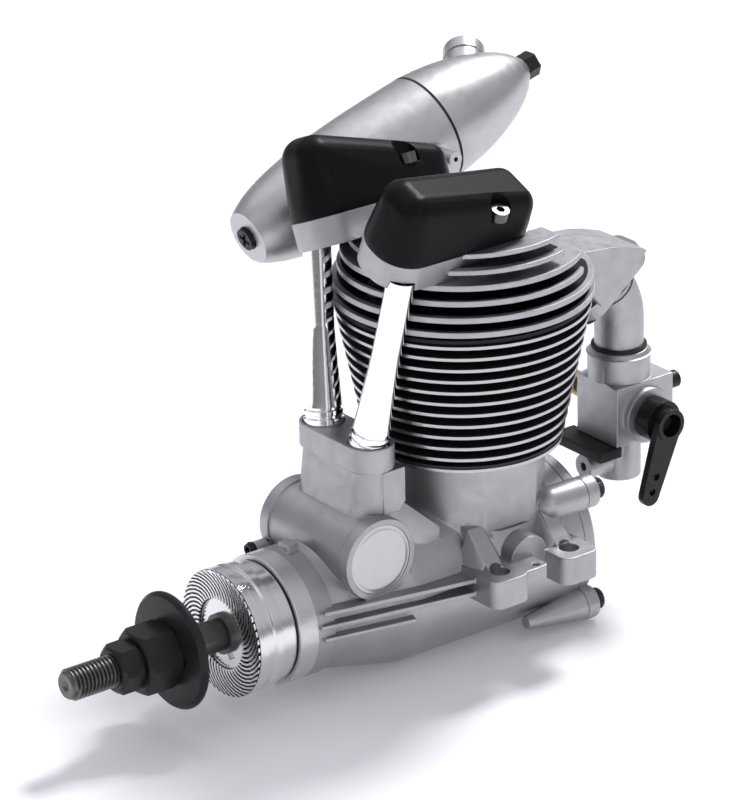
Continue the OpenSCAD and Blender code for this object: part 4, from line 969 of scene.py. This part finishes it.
@dataclass
class PropellerShaft:
    """Front of the crankshaft with its thread, in place of the plain cylinder."""

    crest: float = 3.97 * MM
    root: float = 3.36 * MM
    pitch: float = 1.058 * MM
    tip: float = -118.5 * MM
    cut: float = -104.5 * MM
    steps: int = 56
    core_steps: int = 48
    core_overlap: float = 0.4 * MM
    mark_depth: float = 1.5 * MM
    mark_floor: float = 0.1 * MM
    mark_radius: float = 1.2 * MM
    mark_rim: float = 1.45 * MM
    chamfer: float = 0.35 * MM
    chamfer_depth: float = 0.4 * MM
    ridge_start: float = -0.35 * MM
    ridge_sunk: float = 0.25 * MM
    ridge_share: float = 0.46
    ridge_crest: Span = (0.82, 1.18)

    def build(self, frame: dict, wardrobe: Wardrobe, edges: EdgeWork) -> bpy.types.Object:
        """Make the shaft from the node's rear part, a core and a thread.

        Args:
            frame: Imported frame.
            wardrobe: Finishes.
            edges: Smoothing of the piece.

        Returns:
            The new piece, which replaces the crankshaft.
        """
        mesh = bmesh.new()
        mesh.from_mesh(frame["nodes"]["crankshaft"].data)
        bmesh.ops.remove_doubles(mesh, verts=mesh.verts, dist=WELD)
        cut_flat(mesh, (0.0, self.cut, 0.0), (0.0, -1.0, 0.0))
        self.core(mesh)
        self.thread(mesh)
        piece = keep_piece(mesh, "crankshaft_with_thread")
        wardrobe.dress(piece, Finish.SHAFT)
        edges.finish(piece, None, welded=True)
        return piece

    def front(self) -> Matrix:
        """Place a body at the tip.

        Returns:
            The place of a body whose Z points out of the tip.
        """
        return Matrix.Translation((0.0, self.tip, 0.0)) @ Matrix.Rotation(math.radians(90.0), 4, "X")

    def core(self, mesh: Mesh) -> None:
        """Add the plain core with its centre mark and chamfer.

        Args:
            mesh: Mesh that gets it.
        """
        depth = self.tip - self.cut - self.core_overlap
        profile = [
            (0.0, -self.mark_depth), (self.mark_radius, -self.mark_floor), (self.mark_rim, 0.0),
            (self.root - self.chamfer, 0.0), (self.root, -self.chamfer_depth), (self.root, depth),
            (0.0, depth),
        ]
        turned(mesh, profile, self.core_steps, self.front())

    def thread(self, mesh: Mesh) -> None:
        """Add the helical ridge of the thread.

        Args:
            mesh: Mesh that gets it.
        """
        turns = int((self.cut - self.tip) / self.pitch) - 1
        half = self.pitch * self.ridge_share
        start = self.ridge_start
        inner = self.root - self.ridge_sunk
        near, far = self.ridge_crest
        section = [
            (inner, start), (self.crest, start - half * near),
            (self.crest, start - half * far), (inner, start - 2 * half),
        ]
        verts = [mesh.verts.new((radius, 0.0, height)) for radius, height in section]
        face = mesh.faces.new(verts)
        made = bmesh.ops.spin(
            mesh, geom=[face] + list(face.edges) + verts, cent=(0, 0, 0), axis=(0, 0, 1),
            dvec=(0, 0, -self.pitch / self.steps), angle=2 * math.pi * turns, steps=self.steps * turns,
            use_merge=False, use_duplicate=False,
        )
        ends = {item for item in made["geom_last"] if isinstance(item, bmesh.types.BMVert)}
        ends.update(vert for vert in verts if vert.is_valid)
        bmesh.ops.transform(mesh, matrix=self.front(), verts=whole_bodies(ends))


@dataclass
class SocketScrew:
    """Cap screw with a knurled head and a hexagon socket."""

    head_radius: float = 2.75 * MM
    head_height: float = 3.0 * MM
    socket: float = 1.4 * MM
    shank_radius: float = 1.45 * MM
    shank_length: float = 8.0 * MM
    flutes: int = 28
    flute_share: float = 0.955
    foot: float = 0.25 * MM
    foot_share: float = 0.94
    crown: float = 0.35 * MM
    crown_share: float = 0.93
    crown_start: float = 0.85 * MM
    socket_rim: float = 0.35 * MM
    socket_depth: float = 1.6 * MM
    socket_taper: float = 0.98

    def add(self, mesh: Mesh, place: Matrix) -> None:
        """Add one screw to a mesh.

        Args:
            mesh: Mesh that gets the screw.
            place: Its place: Z points out of the head, and the head sits on z = 0.
        """
        new = bmesh.new()
        ring = ring_of(new, 2 * self.flutes, self.head_radius, self.foot)
        for vert in ring[::2]:
            vert.co.xy *= self.flute_share
        skirt = self.drawn(new, ring, 1.0, self.head_height - self.crown_start)
        top = self.drawn(new, skirt, self.crown_share, self.crown)
        rim = (self.socket + self.socket_rim) / (self.head_radius * self.crown_share)
        self.cap(new, self.drawn(new, top, rim, 0.0))
        low = self.drawn(new, ring, self.foot_share, -self.foot)
        shank = self.drawn(new, low, self.shank_radius / (self.head_radius * self.foot_share), 0.0)
        self.cap_flat(new, self.drawn(new, shank, 1.0, -self.shank_length))
        new.transform(place)
        absorb(mesh, new)

    def rim_edges(self, ring: Verts) -> list[bmesh.types.BMEdge]:
        """Find the edges that join the vertices of a ring.

        Args:
            ring: The vertices.

        Returns:
            Every edge between two of them.
        """
        inside = set(ring)
        return list({edge for vert in ring for edge in vert.link_edges if edge.other_vert(vert) in inside})

    def drawn(self, mesh: Mesh, ring: Verts, scale: float, height: float) -> Verts:
        """Extrude a ring from another.

        Args:
            mesh: Mesh that holds them.
            ring: Vertices of the ring to start from.
            scale: Size of the new ring, as a factor.
            height: How far it is raised.

        Returns:
            The vertices of the new ring.
        """
        made = bmesh.ops.extrude_edge_only(mesh, edges=self.rim_edges(ring))["geom"]
        verts = [item for item in made if isinstance(item, bmesh.types.BMVert)]
        bmesh.ops.scale(mesh, vec=(scale, scale, 1.0), verts=verts)
        bmesh.ops.translate(mesh, vec=(0.0, 0.0, height), verts=verts)
        return verts

    def cap_flat(self, mesh: Mesh, ring: Verts) -> None:
        """Close a ring with one flat face.

        Args:
            mesh: Mesh that holds the ring.
            ring: Vertices of the ring.
        """
        bmesh.ops.contextual_create(mesh, geom=self.rim_edges(ring))

    def cap(self, mesh: Mesh, ring: Verts) -> None:
        """Close the head with the hexagon socket.

        Args:
            mesh: Mesh that holds the head.
            ring: Innermost ring of its top.
        """
        flats = ring_of(mesh, 6, self.socket, ring[0].co.z)
        rims = [edge for edge in self.rim_edges(ring + flats) if len(edge.link_faces) < 2]
        bmesh.ops.triangle_fill(mesh, edges=rims, use_beauty=True)
        holes = [face for face in mesh.faces if set(face.verts) <= set(flats)]
        bmesh.ops.delete(mesh, geom=holes, context="FACES_ONLY")
        self.cap_flat(mesh, self.drawn(mesh, flats, self.socket_taper, -self.socket_depth))


@dataclass
class LugSlopes:
    """Sloping roots of the mounting lugs, round the gussets of the casting."""

    lug_x: float = 27.0 * MM
    lug_y: float = 10.75 * MM
    lug_top: float = 7.3 * MM
    hole_radius: float = 2.35 * MM
    root_x: float = 17.0 * MM
    root_top: float = 15.7 * MM
    root_half: float = 5.5 * MM
    ridge_half: float = 2.3 * MM
    hole_gap: float = 0.35 * MM
    sunk: float = 0.5 * MM
    tip_spread: float = 1.4 * MM
    tip_rise: float = 1.3 * MM

    def add(self, mesh: Mesh, side: int, end: int) -> None:
        """Add the slope of one lug.

        Args:
            mesh: Mesh that gets it.
            side: 1 for the right lugs, -1 for the left ones.
            end: 1 for the rear lugs, -1 for the front ones.
        """
        tip_x = self.lug_x - self.hole_radius - self.hole_gap
        foot = self.lug_top - self.sunk
        corners = [
            (self.root_x, self.root_half, foot),
            (tip_x, self.ridge_half + self.tip_spread, foot),
            (self.root_x, self.ridge_half, self.root_top),
            (tip_x, self.ridge_half, self.lug_top + self.tip_rise),
        ]
        verts = [
            mesh.verts.new((side * x, end * self.lug_y + way * y, z))
            for x, y, z in corners for way in (-1, 1)
        ]
        bmesh.ops.convex_hull(mesh, input=verts)

    def build(self) -> bpy.types.Object:
        """Build the four slopes.

        Returns:
            One piece that holds them.
        """
        mesh = bmesh.new()
        for side in (-1, 1):
            for end in (-1, 1):
                self.add(mesh, side, end)
        return keep_piece(mesh, "lug_slopes")


@dataclass
class UpperFins:
    """Two short fins of the head beside the right rocker box."""

    heights: tuple[float, ...] = (83.38 * MM, 86.98 * MM)
    radii: tuple[float, ...] = (28.4 * MM, 27.0 * MM)
    thickness: float = 1.3 * MM
    inner: float = 18.6 * MM
    rear: tuple[float, ...] = (10.0 * MM, 9.5 * MM)
    front: float = -20.0 * MM
    segments: int = 96

    def fin(self, height: float, radius: float, rear: float) -> Mesh:
        """Build one fin, a part of a round plate.

        Args:
            height: Height of its lower face.
            radius: Radius of its rim.
            rear: How far it goes back.

        Returns:
            The fin.
        """
        fin = bmesh.new()
        place = Matrix.Translation((0.0, 0.0, height))
        bmesh.ops.create_circle(fin, cap_ends=True, segments=self.segments, radius=radius, matrix=place)
        raised = bmesh.ops.extrude_face_region(fin, geom=fin.faces[:])["geom"]
        verts = [item for item in raised if isinstance(item, bmesh.types.BMVert)]
        bmesh.ops.translate(fin, vec=(0.0, 0.0, self.thickness), verts=verts)
        cut_flat(fin, (self.inner, 0.0, 0.0), (-1.0, 0.0, 0.0))
        cut_flat(fin, (0.0, rear, 0.0), (0.0, 1.0, 0.0))
        cut_flat(fin, (0.0, self.front, 0.0), (0.0, -1.0, 0.0))
        return fin

    def build(self) -> bpy.types.Object:
        """Build the two fins.

        Returns:
            One piece that holds them.
        """
        joined = bmesh.new()
        for sizes in zip(self.heights, self.radii, self.rear):
            absorb(joined, self.fin(*sizes))
        return keep_piece(joined, "upper_fins")


@dataclass
class DarkBlockUnderCarburettor:
    """Dark block that lies under the front of the carburettor block."""

    left: float = -11.0 * MM
    right: float = 7.9 * MM
    front: float = 36.8 * MM
    rear: float = 44.0 * MM
    low: float = 15.4 * MM
    top: float = 18.4 * MM

    def build(self) -> bpy.types.Object:
        """Build the block.

        Returns:
            The block as one piece.
        """
        mesh = bmesh.new()
        size = Vector((self.right - self.left, self.rear - self.front, self.top - self.low))
        middle = Vector((self.right + self.left, self.rear + self.front, self.top + self.low)) / 2
        place = Matrix.Translation(middle) @ Matrix.Diagonal((*size, 1.0))
        bmesh.ops.create_cube(mesh, size=1.0, matrix=place)
        return keep_piece(mesh, "dark_block_under_carburettor")


@dataclass(frozen=True)
class ScrewPlaces:
    """Where the screws of the rear cover and of the intake flange stand."""

    cover_x: float = 17.2 * MM
    cover_y: float = 25.6 * MM
    cover_z: float = 15.0 * MM
    flange_y: float = 43.0 * MM
    flange_z: float = 62.7 * MM
    flange_turn: float = math.radians(37.7 - 180.0)
    flange_side: float = 9.0 * MM
    flange_seat: float = 4.2 * MM
    flange_head: float = 2.5 * MM
    flange_shank: float = 4.2 * MM

    def of_cover(self) -> list[Matrix]:
        """Place the screws of the rear cover.

        Returns:
            The place of each screw, its head to the rear.
        """
        upright = Matrix.Rotation(math.radians(-90.0), 4, "X")
        return [
            Matrix.Translation((side * self.cover_x, self.cover_y, level * self.cover_z)) @ upright
            for side in (-1, 1) for level in (-1, 1)
        ]

    def of_flange(self) -> list[Matrix]:
        """Place the screws of the intake flange.

        Returns:
            The place of each screw, its head away from the pipe.
        """
        turn = Matrix.Rotation(self.flange_turn, 4, "X")
        joint = Matrix.Translation((0.0, self.flange_y, self.flange_z)) @ turn
        return [
            joint @ Matrix.Translation((0.0, side * self.flange_side, self.flange_seat))
            for side in (-1, 1)
        ]


@dataclass
class Engine:
    """The whole engine: every node gets its finish, and new pieces join them."""

    frame: dict
    wardrobe: Wardrobe = field(default_factory=Wardrobe)
    edges: EdgeWork = field(default_factory=EdgeWork)

    def dress_nodes(self) -> None:
        """Give every node its finish and its softened edges."""
        for finish, names in NODES_OF.items():
            for name in names:
                node = self.frame["nodes"][name]
                self.wardrobe.dress(node, finish)
                self.edges.finish(node, EDGE_WIDTHS.get(name))
                LOG.info("%s: %s", name, finish.value.name)

    def shaft(self) -> None:
        """Build the propeller shaft's thread."""
        piece = PropellerShaft().build(self.frame, self.wardrobe, self.edges)
        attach(piece, "crank")
        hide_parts("crankshaft")
        LOG.info("%s rides on crank", piece.name)

    def screws(self) -> None:
        """Build the knurled screws of the rear cover and the intake flange."""
        places = ScrewPlaces()
        mesh = bmesh.new()
        for place in places.of_cover():
            SocketScrew().add(mesh, place)
        self.fix(mesh, "knurled_cover_screws", "rear_cover_screws")
        mesh = bmesh.new()
        for place in places.of_flange():
            screw = SocketScrew(head_radius=places.flange_head, shank_length=places.flange_shank)
            screw.add(mesh, place)
        self.fix(mesh, "knurled_intake_screws", "intake_screws")

    def fix(self, mesh: Mesh, name: str, node: str) -> None:
        """Turn a mesh of screws into a piece that replaces their node.

        Args:
            mesh: The screws.
            name: Name of the piece.
            node: Node that it stands in for.
        """
        piece = keep_piece(mesh, name)
        self.wardrobe.dress(piece, Finish.BLACKED)
        self.edges.finish(piece, None, welded=True)
        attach(piece, "engine")
        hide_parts(node)
        LOG.info("%s replaces %s", name, node)

    def join(self, piece: bpy.types.Object, finish: Finish, width: float) -> None:
        """Dress a piece that is added to the engine's own body.

        Args:
            piece: The new piece.
            finish: Its finish.
            width: Width of its rounded edges.
        """
        self.wardrobe.dress(piece, finish)
        self.edges.finish(piece, width, welded=True)
        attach(piece, "engine")
        LOG.info("%s joins the engine", piece.name)

    def build(self) -> None:
        """Build every piece."""
        self.dress_nodes()
        self.shaft()
        self.screws()
        self.join(LugSlopes().build(), Finish.CAST, 0.5 * MM)
        self.join(UpperFins().build(), Finish.UPPER, 0.3 * MM)
        self.join(DarkBlockUnderCarburettor().build(), Finish.BLACKED, 0.5 * MM)


def main() -> None:
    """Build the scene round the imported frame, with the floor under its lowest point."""
    logging.basicConfig(level=logging.INFO, format="%(name)s: %(message)s")
    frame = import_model()
    cad = [list(corner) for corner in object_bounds()]
    Engine(frame).build()
    Studio().build(cad[0][2])


if __name__ == "__main__":
    main()
